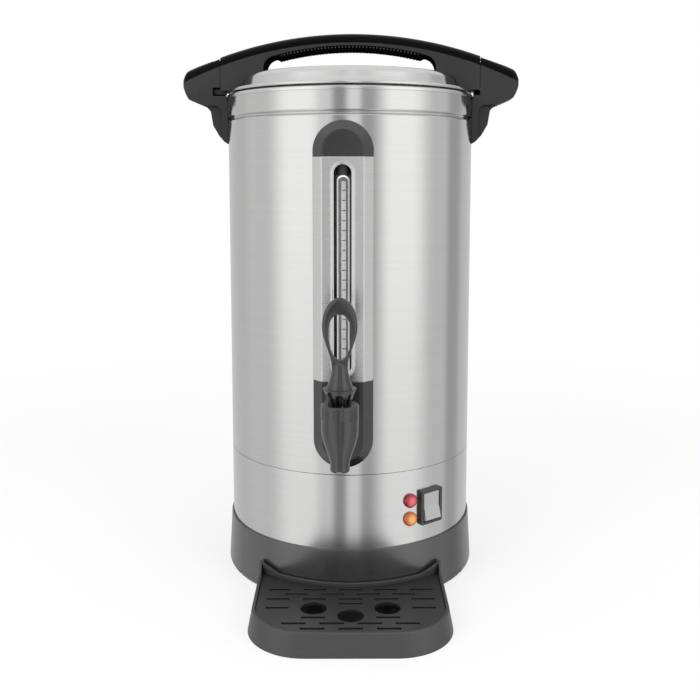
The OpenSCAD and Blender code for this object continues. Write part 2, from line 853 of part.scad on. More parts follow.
// Seal inside the tank, and the spacer between tank and shell
module tap_washers() {
    spacer_r = shank_r + 2.5;
    spacer_front = -sqrt(pow(body_r - body_sheet, 2) - pow(spacer_r, 2)) + eps;
    color(rubber_grey) difference() {
        union() {
            bar_y(washer_r, washer_y + washer_t - eps, washer_y, shank_z);
            bar_y(spacer_r, -tank_r - eps, spacer_front, shank_z);
        }
        bar_y(shank_r + eps, 0, -far, shank_z);
    }
}

module tap_stem() {
    eye_t = 3.4;
    color("#d8d8d4") difference() {
        translate([0, tap_y, 0]) {
            disc(stem_d / 2, seat_z + 3.2, bonnet_top + 1);
            disc(spring_r + wire_d / 2 + 0.1, seat_z + 6, seat_z + 7.5);
            intersection() {
                disc(stem_d / 2 + 0.6, bonnet_top + 0.5, stem_top);
                translate([-eye_t / 2, -10, bonnet_top + 0.5]) cube([eye_t, 20, 20]);
            }
        }
        bar_x(pin_d / 2 + pin_gap, -10, 10, tap_y, pin_z);
    }
}

module seat_cup() {
    bore_r = spout_bore / 2;
    foot = seat_z + seat_gap / 2;
    color("#8a8b8d") translate([0, tap_y, 0]) difference() {
        rotate_extrude() polygon([
            [0, foot], [bore_r + 2, foot], [bore_r + 3, seat_z + 2], [bore_r + 2, seat_z + 6], [0, seat_z + 6]
        ]);
        disc(stem_d / 2 + eps, seat_z + 3.2, seat_z + 10);
    }
}

spring_z0 = seat_z + 7.6;
spring_z1 = bonnet_top - 4 - 0.1;
spring_r = 5.2;
wire_d = 1;
spring_turns = 6;

// Round wire wound along Z, closed by flat discs at its two ends
module coil(r, d, z0, z1, turns, steps = 14, sides = 6) {
    n = turns * steps;
    rise = (z1 - z0 - d) / n;
    ring_points = [for (i = [0 : n]) for (k = [0 : sides - 1])
        let (a = 360 * i / steps, b = 360 * k / sides, q = r + d / 2 * cos(b))
            [q * cos(a), q * sin(a), z0 + d / 2 + rise * i + d / 2 * sin(b)]];
    walls = [for (i = [0 : n - 1]) for (k = [0 : sides - 1])
        let (k2 = (k + 1) % sides)
            [i * sides + k, i * sides + k2, (i + 1) * sides + k2, (i + 1) * sides + k]];
    first = [for (k = [sides - 1 : -1 : 0]) k];
    last = [for (k = [0 : sides - 1]) n * sides + k];
    polyhedron(ring_points, concat(walls, [first, last]), convexity = 10);
}

module tap_spring() {
    color(bright_steel) translate([0, tap_y, 0]) coil(spring_r, wire_d, spring_z0, spring_z1, spring_turns);
}

// ---------------------------------------------------------------- lever

loop_widest = 0.6;
hole_widest = 0.54;
hole_foot = 5.8;

function mirrored(right) = [for (i = [len(right) - 1 : -1 : 0]) [-right[i][0], right[i][1]]];

// Right side of the loop, from its neck up to its round top
function loop_side() = concat(
    [for (t = [0 : 0.0625 : 0.99]) [neck_r + (loop_w / 2 - neck_r) * ease(t), t * loop_widest * loop_h]],
    [for (a = [0 : 7.5 : 84]) [loop_w / 2 * cos(a), loop_h * (loop_widest + (1 - loop_widest) * sin(a))]]
);

// Half of the hole's width, at a share of its height
function hole_half_w(s) = (loop_w / 2 - loop_bar) * (s < hole_widest
    ? sqrt(1 - pow(1 - s / hole_widest, 2))
    : sqrt(1 - pow((s - hole_widest) / (1 - hole_widest), 3)));

module loop_outline() {
    right = loop_side();
    polygon(concat(right, [[0, loop_h]], mirrored(right)));
}

module loop_hole() {
    steps = 18;
    hole_h = loop_h - hole_foot - loop_pad;
    right = [for (i = [1 : steps - 1]) let (s = ease(i / steps)) [hole_half_w(s), hole_foot + s * hole_h]];
    polygon(concat(right, mirrored(right)));
}

// The loop, drawn in layers that step in toward its front and back faces
module lever_loop() {
    layers = [[0, 3], [2, 1], [3, 0.4], [4, 0]];
    translate([0, tap_y, bonnet_top + neck_rise]) difference() {
        for (layer = layers) slab_xz(loop_depth - layer[0]) offset(delta = -layer[1]) loop_outline();
        slab_xz(loop_depth + 2) loop_hole();
    }
}

module lever_stalk_outline() {
    taper = loop_depth / 2 - 0.4;
    neck_z = bonnet_top + neck_rise;
    flare = [for (i = [0 : 8]) let (t = i / 8) [
        neck_r + (skirt_r - neck_r) * pow(1 - t, 1.35),
        bonnet_top + skirt_rise + (neck_rise - skirt_rise) * t
    ]];
    polygon(concat(
        [[0, lever_foot], [crown_r, lever_foot], [skirt_r, bonnet_top + skirt_rise - 1]],
        flare,
        [[neck_r, neck_z + 1], [taper, neck_z + 5], [0, neck_z + 5]]
    ));
}

module lever_hollow_outline() {
    wall = 2.2;
    polygon([
        [0, lever_foot - 1], [crown_r - wall, lever_foot - 1], [crown_r - wall, lever_foot],
        [skirt_r - wall - 1, bonnet_top + skirt_rise - 1], [0, bonnet_top + skirt_rise + 4]
    ]);
}

// Slots round the crown: [angle, width]
crown_slots = [[0, 4.2], [180, 4.2], [45, 2.4], [135, 2.4], [225, 2.4], [315, 2.4]];

module tap_lever() {
    color(dark_plastic) difference() {
        union() {
            lever_loop();
            translate([0, tap_y, 0]) rotate_extrude() lever_stalk_outline();
        }
        translate([0, tap_y, 0]) rotate_extrude() lever_hollow_outline();
        for (slot = crown_slots) translate([0, tap_y, 0]) rotate([0, 0, slot[0]])
            translate([-slot[1] / 2, crown_r - 4, lever_foot - 1]) cube([slot[1], 9, skirt_rise - 2]);
        bar_x(pin_d / 2, -20, 20, tap_y, pin_z);
    }
}

module lever_pin() {
    color(bright_steel) bar_x(pin_d / 2 - eps, -pin_l / 2, pin_l / 2, tap_y, pin_z);
}

// ---------------------------------------------------------------- controls

lamp_levels = [base_h + lamp_rise, base_h + lamp_rise + lamp_pitch];
lamp_body_r = lamp_d / 2 - 0.6;
switch_z = base_h + switch_rise;
switch_body_w = switch_w - 3;
switch_body_h = switch_h - 3;
rocker_w = switch_w - 7;
rocker_h = switch_h - 5;
bezel_proud = 3;

module pilot_lamp(z, lens_colour) {
    lens_r = lamp_d / 2;
    tail_r = lamp_body_r - 1;
    color(lens_colour) facing(lamp_angle, z) rotate([90, 0, 0]) rotate_extrude($fn = 48) polygon(concat(
        [[0, -14], [tail_r, -14], [tail_r, -3], [lamp_body_r, -3], [lamp_body_r, 0.3], [lens_r, 0.3]],
        [for (a = [0 : 15 : 90]) [lens_r * cos(a), 1.4 + 3 * sin(a)]]
    ));
}

module lamp_bezels() {
    color("#2a2a2c") for (z = lamp_levels) facing(lamp_angle, z) rotate([90, 0, 0])
        difference() {
            cylinder(r1 = lamp_d / 2 + 1.4, r2 = lamp_d / 2 + 0.9, h = 1.3, $fn = 48);
            translate([0, 0, -1]) cylinder(r = lamp_d / 2 + 0.05, h = 4, $fn = 48);
        }
}

module switch_housing() {
    color("#3a3b3d") difference() {
        facing(switch_angle, switch_z) {
            difference() {
                union() {
                    translate([0, 2, 0]) rotate([90, 0, 0])
                        rounded_bar(switch_w, switch_h, bezel_proud + 2, 1.5);
                    translate([-switch_body_w / 2, -1, -switch_body_h / 2])
                        cube([switch_body_w, 16, switch_body_h]);
                    for (z = [-8, 0, 8]) translate([-3.15, 14, z - 0.4]) cube([6.3, 10, 0.8]);
                }
                translate([-rocker_w / 2 - free_gap, -bezel_proud - 1, -rocker_h / 2 - free_gap])
                    cube([rocker_w + 2 * free_gap, bezel_proud + 12, rocker_h + 2 * free_gap]);
                bar_x(rocker_axle_r + pin_gap, -switch_w / 2 + 2.5, switch_w / 2 - 2.5, rocker_axle_y, 0);
            }
        }
        difference() {
            disc(body_r + seat_gap / 2, switch_z - switch_h, switch_z + switch_h);
            facing(switch_angle, switch_z) translate([-switch_body_w / 2, -1, -switch_body_h / 2])
                cube([switch_body_w, 40, switch_body_h]);
        }
    }
}

rocker_axle_r = 1.3;
rocker_axle_y = 2;

module switch_rocker() {
    half = rocker_h / 2;
    crest = bezel_proud - 0.6;
    lift = crest + half * tan(rocker_tilt);
    color("#b9babb") facing(switch_angle, switch_z)
        translate([0, rocker_axle_y, 0]) rotate([-rocker_tilt, 0, 0]) translate([0, -rocker_axle_y, 0]) {
            rotate([90, 0, 90]) translate([0, 0, -rocker_w / 2]) linear_extrude(rocker_w) polygon([
                [-crest, 0], [-lift, half - 1.2], [0.8 - lift, half - 0.4], [1.5, half - 1.4],
                [5, 4], [5, -4],
                [1.5, -half + 1.4], [0.8 - lift, -half + 0.4], [-lift, -half + 1.2]
            ]);
            bar_x(rocker_axle_r, -switch_w / 2 + 3, switch_w / 2 - 3, rocker_axle_y, 0);
        }
}

// ---------------------------------------------------------------- lid

// Angles between which the lid's edge is rolled, and its shoulder is bent
roll_start = 190;
roll_end = -80;
shoulder_low = 12;
shoulder_high = 86;

// Under surface of the lid, from its rolled edge to the axis
function lid_path() = concat(
    arc([lid_r - lid_bead_r, flange_z + lid_bead_r], lid_bead_r, roll_start, roll_end, 10),
    [[lid_r - lid_bead_r - 3, flange_z + 0.4]],
    [[dome_r + 2, flange_z], [dome_r, flange_z + 1.6], [dome_r - 2.2, dome_top - shoulder_r - 3]],
    arc([dome_r - 3 - shoulder_r, dome_top - shoulder_r - 1.6], shoulder_r, shoulder_low, shoulder_high, 7),
    [for (i = [1 : 3]) [(dome_r - 3 - shoulder_r) * (4 - i) / 4, dome_top - 1.6 + 1.6 * sin(90 * i / 4)]],
    [[5, dome_top], [0, dome_top]]
);
lid_wall_point = 14;

// Solid form under the lid's upper surface, for pieces that sit on it
module lid_envelope(gap) {
    path = lid_path();
    foot = flange_z - 5;
    side_r = lid_r + lid_sheet + gap;
    bead_top = flange_z + 2 * lid_bead_r + lid_sheet + gap;
    rotate_extrude() polygon(concat(
        [[0, foot], [side_r, foot], [side_r, bead_top], [dome_r + 1 + gap, bead_top]],
        [for (i = [lid_wall_point : len(path) - 1]) mitred(path, i, -lid_sheet - gap)]
    ));
}

module lid() {
    color(bright_steel) difference() {
        rotate_extrude($fn = 144) polygon(sheet(lid_path(), -lid_sheet));
        for (s = [-1, 1]) translate([s * lid_screw_x, 0, 0]) cylinder(d = screw_d + 1, h = far * 2);
        translate([vent_x, vent_y, 0]) cylinder(d = 5, h = far * 2);
    }
}

module lid_skirt() {
    skirt_or = tank_inner_r - free_gap;
    color(bright_steel) rotate_extrude($fn = 144) polygon([
        [skirt_or - lid_sheet, flange_z - eps], [skirt_or - lid_sheet, rim_z - skirt_depth],
        [skirt_or, rim_z - skirt_depth], [skirt_or, flange_z - eps]
    ]);
}

module lid_seal() {
    color("#9a9b9c") ring(tank_inner_r + 3, tank_inner_r + seat_gap, seal_z, flange_z - seat_gap);
}

lid_screw_x = dome_r - shoulder_r - 7;
vent_x = 51;
vent_y = -30;

module steam_vent() {
    foot = dome_top + lid_sheet / 2;
    color(steel) translate([vent_x, vent_y, 0]) difference() {
        union() {
            translate([0, 0, foot]) cylinder(d1 = vent_cap_d, d2 = vent_cap_d - 2, h = 2.4);
            disc(2.3, foot - 4, foot + 1);
        }
        disc(1, foot - 5, foot + 10);
    }
}

// Puck whose rounded upper edge is the crest of the arch
module arch_puck() {
    crown_h = 7.5;
    crown_w = 9;
    half = handle_w / 2;
    edge = [for (a = [0 : 15 : 90]) [arch_r - crown_h + crown_h * sin(a), half - crown_w + crown_w * cos(a)]];
    front = [for (p = edge) [p[0], -p[1]]];
    back = [for (i = [len(edge) - 1 : -1 : 0]) edge[i]];
    translate([0, 0, arch_z]) rotate([90, 0, 0]) rotate_extrude($fn = 240)
        polygon(concat([[0, -half]], front, back, [[0, half]]));
}

module arch_opening_outline() {
    soft = 11;
    offset(r = soft, $fn = 48) offset(delta = -soft) intersection() {
        translate([0, arch_inner_z]) circle(r = arch_inner_r, $fn = 240);
        translate([-arch_opening, dome_top - 30]) square([2 * arch_opening, 100]);
    }
}

arch_inner_z = arch_top - arch_t - arch_inner_r;

// Band under the arch, from its inner radius inward by depth, as an outline in X and Z
module under_arch_band(half_angle, depth, ripple = 0, count = 0) {
    steps = count == 0 ? 24 : 4 * count;
    wave = [0, 0.75, 1, 0.75];
    lower = [for (i = [0 : steps]) let (a = 90 + half_angle - 2 * half_angle * i / steps)
        (arch_inner_r - depth - ripple * wave[i % 4]) * [cos(a), sin(a)]];
    upper = arc([0, 0], arch_inner_r + 1, 90 - half_angle, 90 + half_angle, 24);
    translate([0, arch_inner_z]) polygon(concat(lower, upper));
}

// Grip under the arch: a crowned pad with cross ridges
module arch_grip() {
    half_angle = asin((arch_opening - 15) / arch_inner_r);
    ridges = floor(2 * PI * arch_inner_r * half_angle / 180 / ridge_pitch);
    slab_xz(handle_w - 3) under_arch_band(half_angle + 0.6, 0.8);
    slab_xz(handle_w - 6) under_arch_band(half_angle + 0.3, 1.6);
    slab_xz(handle_w - 9) under_arch_band(half_angle, 2, 0.9, ridges);
}

module lid_handle() {
    foot = handle_clear_z;
    color(grip_plastic) difference() {
        union() {
            arch_grip();
            intersection() {
                arch_puck();
                disc(seam_r - seam_gap, foot, arch_top + 10);
                slab_xz(handle_w + 2) difference() {
                    translate([-seam_r, foot]) square([2 * seam_r, arch_top - foot + 5]);
                    arch_opening_outline();
                }
            }
            for (a = [0, 180]) rotate([0, 0, a]) lug();
        }
        lid_envelope(seat_gap);
        for (s = [-1, 1]) translate([s * lid_screw_x, 0, 0]) cylinder(d = thread_d, h = dome_top + 12);
    }
}

// Hook under the end of the lid handle, which turns out through the side handle's notch
module lug() {
    translate([-(seam_r - seam_gap + lug_reach), -lug_y, lug_z]) cube([lug_reach + 4.5, lug_w, lug_t]);
    translate([-(seam_r - seam_gap), -lug_y, lug_z]) cube([4.5, lug_w, handle_clear_z - lug_z + 1]);
}

module lid_handle_screws() {
    color(bright_steel) for (s = [-1, 1]) translate([s * lid_screw_x, 0, dome_top - 1.7])
        rotate([180, 0, 0]) screw(lid_screw_l);
}

// ---------------------------------------------------------------- side handles

// Outline of the left side handle in X and Z, seen from the front
module side_outline() {
    tip_low = rim_z + 4;
    bracket_foot = rim_z - bracket_drop;
    bracket_out = body_r + 15.5;
    left = [
        [-body_r / 2, arch_top], [-grip_x, arch_top], [-grip_x, tip_low], [-grip_x + 6, tip_low - 6],
        [-bracket_out - 3, grip_low - 1.5], [-bracket_out, grip_low - 5],
        [-body_r - 13.5, rim_z - 25], [-body_r - 8, bracket_foot + 6.5], [-body_r - 2.5, bracket_foot + 1],
        [-body_r + 4, bracket_foot - 3], [-body_r / 2, bracket_foot - 3]
    ];
    offset(r = 2, $fn = 24) offset(delta = -2) polygon(left);
}

// Region of the bracket that is thinner than the grip above it
module gusset_outline() {
    top = grip_low;
    foot = rim_z - bracket_drop - 5;
    strip_x = -body_r - gusset_strip_w;
    polygon(concat(
        [[-grip_x - 5, foot], [strip_x, foot]],
        arc([strip_x - 6, top - 6], 6, 0, 90, 5),
        [[-grip_x - 5, top]]
    ));
}

module gusset_recess() {
    slab_xz(handle_w + 2) gusset_outline();
}

module side_plan() {
    soft = 8;
    offset(r = soft, $fn = 32) offset(delta = -soft)
        translate([-grip_x, -handle_w / 2]) square([grip_x, handle_w]);
}

handle_screw_levels = [bead_z + bead_w / 2 + 5, rim_z - bracket_drop + 9];

module side_handle_body() {
    difference() {
        intersection() {
            arch_puck();
            slab_xz(handle_w + 2) side_outline();
            linear_extrude(far * 2) side_plan();
        }
        disc(body_r + seat_gap / 2, 0, far * 2);
        disc(rim_r + free_gap, rim_top - rim_curl - free_gap, far * 2);
        disc(seam_r + seam_gap, notch_z, far * 2);
        side_handle_cavity();
        for (s = [-1, 1]) translate([0, s * (handle_w + 2 - gusset_depth), 0]) gusset_recess();
        for (z = handle_screw_levels) bar_x(thread_d / 2, -body_r - 7, -body_r + 5, 0, z);
    }
}

module side_handle_cavity() {
    half = handle_w / 2 - handle_wall;
    intersection() {
        slab_xz(2 * half) offset(delta = -handle_wall, $fn = 24) side_outline();
        translate([0, 0, arch_z]) rotate([90, 0, 0])
            cylinder(r = arch_r - handle_wall, h = handle_w, center = true, $fn = 240);
        translate([-grip_x, -half, notch_z]) cube([grip_x, 2 * half, far]);
    }
    translate([-seam_r - lug_reach - 1, -half, notch_z]) cube([lug_reach + 3, 2 * half, 10]);
}

// Way out for the lug when the lid turns, and the groove above it
module lug_cuts() {
    lug_tip = seam_r + lug_reach + free_gap;
    translate([-lug_tip, -handle_w, notch_z]) cube([lug_reach + 10, handle_w, lug_t + 3]);
    translate([-lug_tip, -lug_y - free_gap, notch_z]) cube([lug_reach + 5, lug_w + 2 * free_gap, far]);
}

module side_handle_left() {
    color(grip_plastic) difference() {
        side_handle_body();
        lug_cuts();
    }
}

module side_handle_right() {
    color(grip_plastic) rotate([0, 0, 180]) difference() {
        side_handle_body();
        lug_cuts();
    }
}

module handle_screws() {
    color(bright_steel) for (a = [0, 180]) rotate([0, 0, a]) for (z = handle_screw_levels)
        translate([-(body_r - body_sheet - seat_gap / 2), 0, z]) rotate([0, 90, 0]) screw(handle_screw_l);
}

// ---------------------------------------------------------------- percolator

module pump_tube() {
    bell_r = well_r - 4;
    foot = well_z + seat_gap;
    color(bright_steel) {
        rotate_extrude() polygon(sheet(concat(
            [[bell_r, foot], [bell_r - 1, foot + 4], [bell_r - 6, foot + 8], [pump_r + 4, foot + 13]],
            [[pump_r, foot + 20], [pump_r, pump_top]]
        ), pump_wall));
        ring(collar_r, pump_r - eps, basket_z - collar_h - seat_gap, basket_z - seat_gap);
    }
}

module drain_holes(r0, r1, pitch, z0, z1) {
    for (r = [r0 : pitch : r1]) around([0 : 360 / floor(2 * PI * r / (pitch * 1.25)) : 359])
        translate([0, -r, z0]) cylinder(d = drain_d, h = z1 - z0, $fn = 16);
}

module filter_basket() {
    color(bright_steel) difference() {
        rotate_extrude() polygon(sheet([
            [core_r, basket_z + 22], [core_r, basket_z],
            [basket_r - 4, basket_z], [basket_r - 1.5, basket_z + 3],
            [basket_r, basket_top - 1], [basket_r + 2, basket_top]
        ], basket_sheet));
        drain_holes(18, basket_r - 12, 11, basket_z - 1, basket_z + 2);
    }
}

module basket_cover() {
    cover_z = basket_top + basket_sheet + seat_gap;
    color(bright_steel) difference() {
        rotate_extrude() polygon(sheet([
            [core_r, cover_z + 3], [core_r + 4, cover_z],
            [basket_r - 3, cover_z], [basket_r, cover_z + cover_t]
        ], basket_sheet));
        drain_holes(20, basket_r - 12, 16, cover_z - 1, cover_z + 2);
    }
}

// ---------------------------------------------------------------- heating

module heat_spreader() {
    color("#b4b5b6") difference() {
        ring(spreader_r, well_r + 4, spreader_z, spreader_z + spreader_t - seat_gap / 2);
        around([0 : 120 : 240]) translate([0, -stud_ring_r, 0])
            cylinder(d = stud_d - 0.2, h = spreader_z + spreader_t - 1);
    }
}

element_gap = 24;
lead_l = 14;
terminal_l = 8;

// Nearly closed ring of sheathed element, open for a gap at one angle, with a lead down at each end
module element_ring(r, d, z, gap_angle, gap) {
    gap_turn = 90 * gap / (PI * r);
    lead_turn = gap_turn + 36 * d / r;
    rotate([0, 0, gap_angle + gap_turn]) translate([0, 0, z])
        rotate_extrude(angle = 360 - 2 * gap_turn) translate([r, 0]) circle(d = d, $fn = 32);
    for (s = [-1, 1]) rotate([0, 0, gap_angle + s * lead_turn]) translate([r, 0, z]) {
        translate([0, 0, -lead_l]) cylinder(d = d * 0.7, h = lead_l, $fn = 24);
        translate([0, 0, -lead_l - terminal_l]) cylinder(d = d * 0.4, h = terminal_l + 1, $fn = 16);
    }
}

module boiling_element() {
    color("#7d7e80") element_ring(element_r, element_d, element_z - eps, 90, element_gap);
}

module warming_element() {
    color("#8a8b8d") element_ring(warmer_r, warmer_d, warmer_z - eps, 270, element_gap);
}

// Disc thermostat with a mounting flange and two tabs
module disc_switch(x, y, top) {
    translate([x, y, top]) {
        translate([0, 0, -2]) cylinder(d = 16, h = 2);
        translate([0, 0, -3]) rounded_bar(32, 9, 1, 3);
        translate([0, 0, -12]) cylinder(d = 14, h = 10);
        for (s = [-1, 1]) translate([s * 4 - 0.4, -3.15, -20]) cube([0.8, 6.3, 9]);
    }
}

module thermostat() {
    color("#2f3032") disc_switch(0, -12, well_z - tank_sheet - seat_gap / 2);
}

module thermal_cutout() {
    color("#d9d4c8") disc_switch(0, 12, well_z - tank_sheet - seat_gap / 2);
}

module tie_studs() {
    stud_top = spreader_z + spreader_t - 1 - seat_gap;
    color(bright_steel) around([0 : 120 : 240])
        translate([0, -stud_ring_r, 0]) cylinder(d = stud_d - 0.25, h = stud_top);
}

module tie_nuts() {
    color(bright_steel) around([0 : 120 : 240]) translate([0, -stud_ring_r, plate_recess + seat_gap / 2])
        hex_nut(nut_af, 4, stud_d - 0.2);
}

// ---------------------------------------------------------------- power inlet

module power_inlet() {
    flange_depth = 2.5;
    face = inlet_y - 1.5 + seat_gap / 2;
    color("#232426") difference() {
        union() {
            translate([0, face, inlet_z]) rotate([-90, 0, 0])
                rounded_bar(inlet_flange_w, inlet_flange_h, flange_depth, 3);
            translate([-inlet_body_w / 2, face - 22, inlet_z - inlet_body_h / 2])
                cube([inlet_body_w, 23, inlet_body_h]);
        }
        translate([0, face - 16, inlet_z]) rotate([-90, 0, 0]) linear_extrude(30) polygon([
            [-12, 8.2], [12, 8.2], [12, -4], [8, -8.2], [-8, -8.2], [-12, -4]
        ]);
        for (p = inlet_pin_places) translate([p[0] - 2, face - 30, inlet_z + p[1] - 1]) cube([4, 40, 2]);
        for (s = [-1, 1]) translate([s * inlet_screw_pitch / 2, 0, inlet_z]) rotate([-90, 0, 0])
            cylinder(d = screw_d + 0.4, h = far);
    }
}

inlet_pin_places = [[-7, -2], [7, -2], [0, 2]];

module inlet_pins() {
    face = inlet_y - 1.5;
    color("#c8a95a") for (p = inlet_pin_places)
        translate([p[0] - 2 + eps, face - 30, inlet_z + p[1] - 1 + eps]) cube([4 - 2 * eps, 26, 2 - 2 * eps]);
}

module inlet_screws() {
    color(bright_steel) for (s = [-1, 1]) translate([s * inlet_screw_pitch / 2, inlet_y + 1.1, inlet_z])
        rotate([-90, 0, 0]) screw(inlet_screw_l);
}

// ---------------------------------------------------------------- drip tray

// The tray's plan between two heights, set in by a wall, with sides that lean outward to the foot
module tray_solid(inset, z0, z1) {
    post_r = 0.5;
    corner_x = tray_half + tray_flare - tray_corner;
    corner_y = -(tray_front - tray_corner);
    lean0 = tray_flare * z0 / tray_h;
    lean1 = tray_flare * z1 / tray_h;
    hull() for (s = [-1, 1]) {
        translate([s * corner_x, corner_y, z0])
            cylinder(r1 = tray_corner - inset - lean0, r2 = tray_corner - inset - lean1, h = z1 - z0);
        for (end = [[z0, lean0], [z1 - 0.01, lean1]]) for (y = [-tray_root, corner_y])
            translate([s * (tray_half + tray_flare - inset - end[1] - post_r), y, end[0]])
                cylinder(r = post_r, h = 0.01, $fn = 12);
    }
}

module drip_tray() {
    ear_top = tray_h + ear_h;
    color(dark_plastic) rotate([0, 0, tray_turn]) {
        difference() {
            tray_solid(0, 0, tray_h);
            tray_solid(tray_wall, tray_floor, tray_h + 1);
            disc(tray_back_r, -1, tray_h + 5);
        }
        difference() {
            intersection() {
                ring(tray_back_r + tray_wall, tray_back_r, 0, ear_top);
                union() {
                    tray_solid(0, 0, tray_h);
                    tray_ear_plan();
                }
            }
            tray_ear_slope();
        }
        difference() {
            for (s = [-1, 1]) tray_side_ear(s);
            disc(tray_back_r, 0, far);
        }
        for (s = [-1, 1]) tray_tongue(s);
    }
}

// The back wall of the tray runs along the base, and rises into an ear at each side
module tray_ear_plan() {
    translate([-tray_half, -base_foot_r - 20, tray_h - 1])
        cube([2 * tray_half, 20 + base_foot_r - tray_root, ear_h + 2]);
}

module tray_ear_slope() {
    foot = [[1, tray_h + 1.5], [tray_half - 18, tray_h + 2]];
    right = concat(foot, [[tray_half - 1, tray_h + ear_h], [tray_half, far]]);
    slab_xz(far)
        polygon(concat(right, mirrored(right)));
}

// The ear runs down along the tray's side wall to the rim
module tray_side_ear(s) {
    root = -sqrt(pow(tray_back_r, 2) - pow(tray_half, 2));
    fin_t = 1.8;
    tip = tray_h + ear_h;
    outline = [[root, tray_h - 1], [root, tip], [root - 5, tip - 1], [root - 16, tray_h - 1]];
    translate([s * (tray_half - fin_t / 2), 0, 0]) rotate([90, 0, 90])
        linear_extrude(fin_t, center = true) polygon(outline);
}

module tray_tongue(s) {
    back = sqrt(pow(tray_back_r, 2) - pow(tongue_x, 2));
    translate([s * tongue_x - tongue_w / 2, -back - 2, tongue_z]) cube([tongue_w, tongue_l, tongue_t]);
}

// Slot rows: [share of the tray's reach, places across in pitches]
slot_rows = [
    [0.08, [-2, -1, 0, 1, 2]],
    [0.175, [-1.5, -0.5, 0.5, 1.5]],
    [0.275, [-2, -1, 0, 1, 2]],
    [0.37, [0]],
    [0.45, [-2, 2]],
    [0.635, [-1, 1]],
    [0.745, [-1.5, -0.5, 0.5, 1.5]],
    [0.84, [-1, 0, 1]]
];
// Feet under the grille: [share of the tray's reach, place across in pitches]
grille_feet = [[0.175, 2], [0.57, 1.85]];
side_hole_share = 0.46;

module drip_grille() {
    color(dark_plastic) rotate([0, 0, tray_turn]) {
        difference() {
            tray_solid(tray_wall + free_gap, grille_z, grille_top);
            disc(tray_back_r + tray_wall + free_gap, 0, far);
            for (row = slot_rows) for (p = row[1]) grille_slot(row[0], p);
            for (s = [-1, 1]) grille_hole(s * slot_pitch, -base_foot_r - side_hole_share * tray_reach);
            grille_hole(0, tap_y);
        }
        for (s = [-1, 1]) for (foot = grille_feet)
            translate([s * foot[1] * slot_pitch, -base_foot_r - foot[0] * tray_reach, tray_floor + seat_gap])
                cylinder(d = 6, h = grille_z - tray_floor);
    }
}

module grille_slot(share, place) {
    translate([place * slot_pitch - slot_l / 2, -base_foot_r - share * tray_reach - slot_w / 2, grille_z - 1])
        cube([slot_l, slot_w, grille_t + 2]);
}

module grille_hole(x, y) {
    translate([x, y, grille_z - 1]) cylinder(d = grille_hole_d, h = grille_t + 2);
}

// ---------------------------------------------------------------- the pieces

base();
bottom_plate();
base_screws();
feet();
control_band();
joining_sleeve();
body_shell();
tank();
column_panel();
column_cap();
tap_housing();
gauge_tube();
gauge_backing();
gauge_scale();
gauge_seals();
tap_body();
tap_bonnet();
tap_nut();
tap_washers();
tap_stem();
seat_cup();
tap_spring();
tap_lever();
lever_pin();
pilot_lamp(lamp_levels[1], "#c8202c");  // pilot_lamp_red
pilot_lamp(lamp_levels[0], "#e8902a");  // pilot_lamp_amber
lamp_bezels();
switch_housing();
switch_rocker();
side_handle_left();
side_handle_right();
handle_screws();
lid();
lid_skirt();
lid_seal();
lid_handle();
lid_handle_screws();
steam_vent();
pump_tube();
filter_basket();
basket_cover();
heat_spreader();
boiling_element();
warming_element();
thermostat();
thermal_cutout();
tie_studs();
tie_nuts();
power_inlet();
inlet_pins();
inlet_screws();
drip_tray();
drip_grille();
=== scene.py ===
"""Looks for the coffee urn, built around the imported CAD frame. Metres, Z up, the tap faces -Y."""

import math

import bmesh
import bpy
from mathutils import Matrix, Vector


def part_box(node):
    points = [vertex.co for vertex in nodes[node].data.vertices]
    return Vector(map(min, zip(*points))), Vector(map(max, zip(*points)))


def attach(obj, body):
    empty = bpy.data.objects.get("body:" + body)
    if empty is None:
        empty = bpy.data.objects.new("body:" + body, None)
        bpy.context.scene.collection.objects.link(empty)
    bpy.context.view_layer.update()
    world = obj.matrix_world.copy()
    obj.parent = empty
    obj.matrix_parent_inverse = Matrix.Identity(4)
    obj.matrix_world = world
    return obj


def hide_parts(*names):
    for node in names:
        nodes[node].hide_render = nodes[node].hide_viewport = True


MM = 0.001

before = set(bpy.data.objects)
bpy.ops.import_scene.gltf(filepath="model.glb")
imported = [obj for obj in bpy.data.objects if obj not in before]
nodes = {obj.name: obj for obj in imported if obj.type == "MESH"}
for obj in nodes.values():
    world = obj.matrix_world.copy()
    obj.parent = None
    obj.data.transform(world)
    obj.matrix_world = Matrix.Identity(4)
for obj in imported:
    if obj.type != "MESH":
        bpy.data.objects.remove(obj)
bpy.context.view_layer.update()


# ---------------------------------------------------------------- places and sizes

def low(node):
    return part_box(node)[0]


def high(node):
    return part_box(node)[1]


def middle(node):
    corner_a, corner_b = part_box(node)
    return (corner_a + corner_b) / 2


# Read from the frame
BODY_R = high("body_shell").x
RIM_Z = high("body_shell").z
ARCH_TOP = high("lid_handle").z
TUBE_R = (high("gauge_tube").x - low("gauge_tube").x) / 2
# Sizes of the arch and its opening, as in the part's source
ARCH_R = 350 * MM
ARCH_T = 11 * MM
GRIP_R = 265 * MM
LEG_W = 33 * MM
RIDGE_PITCH = 3.1 * MM
OPENING_HALF = BODY_R - LEG_W
# Height of the black crest along the arch, and where the tube's painted light lines draw a round closed end
CREST_H = 8.6 * MM
TUBE_END = high("gauge_tube").z - 4.1 * MM


# ---------------------------------------------------------------- node graphs

def add(tree, kind, inputs=None, **settings):
    """One shader node. An input is a value, or another node's output to link."""
    node = tree.nodes.new(kind)
    for name, value in settings.items():
        setattr(node, name, value)
    for key, value in (inputs or {}).items():
        if isinstance(value, bpy.types.NodeSocket):
            tree.links.new(value, node.inputs[key])
        else:
            node.inputs[key].default_value = value
    return node


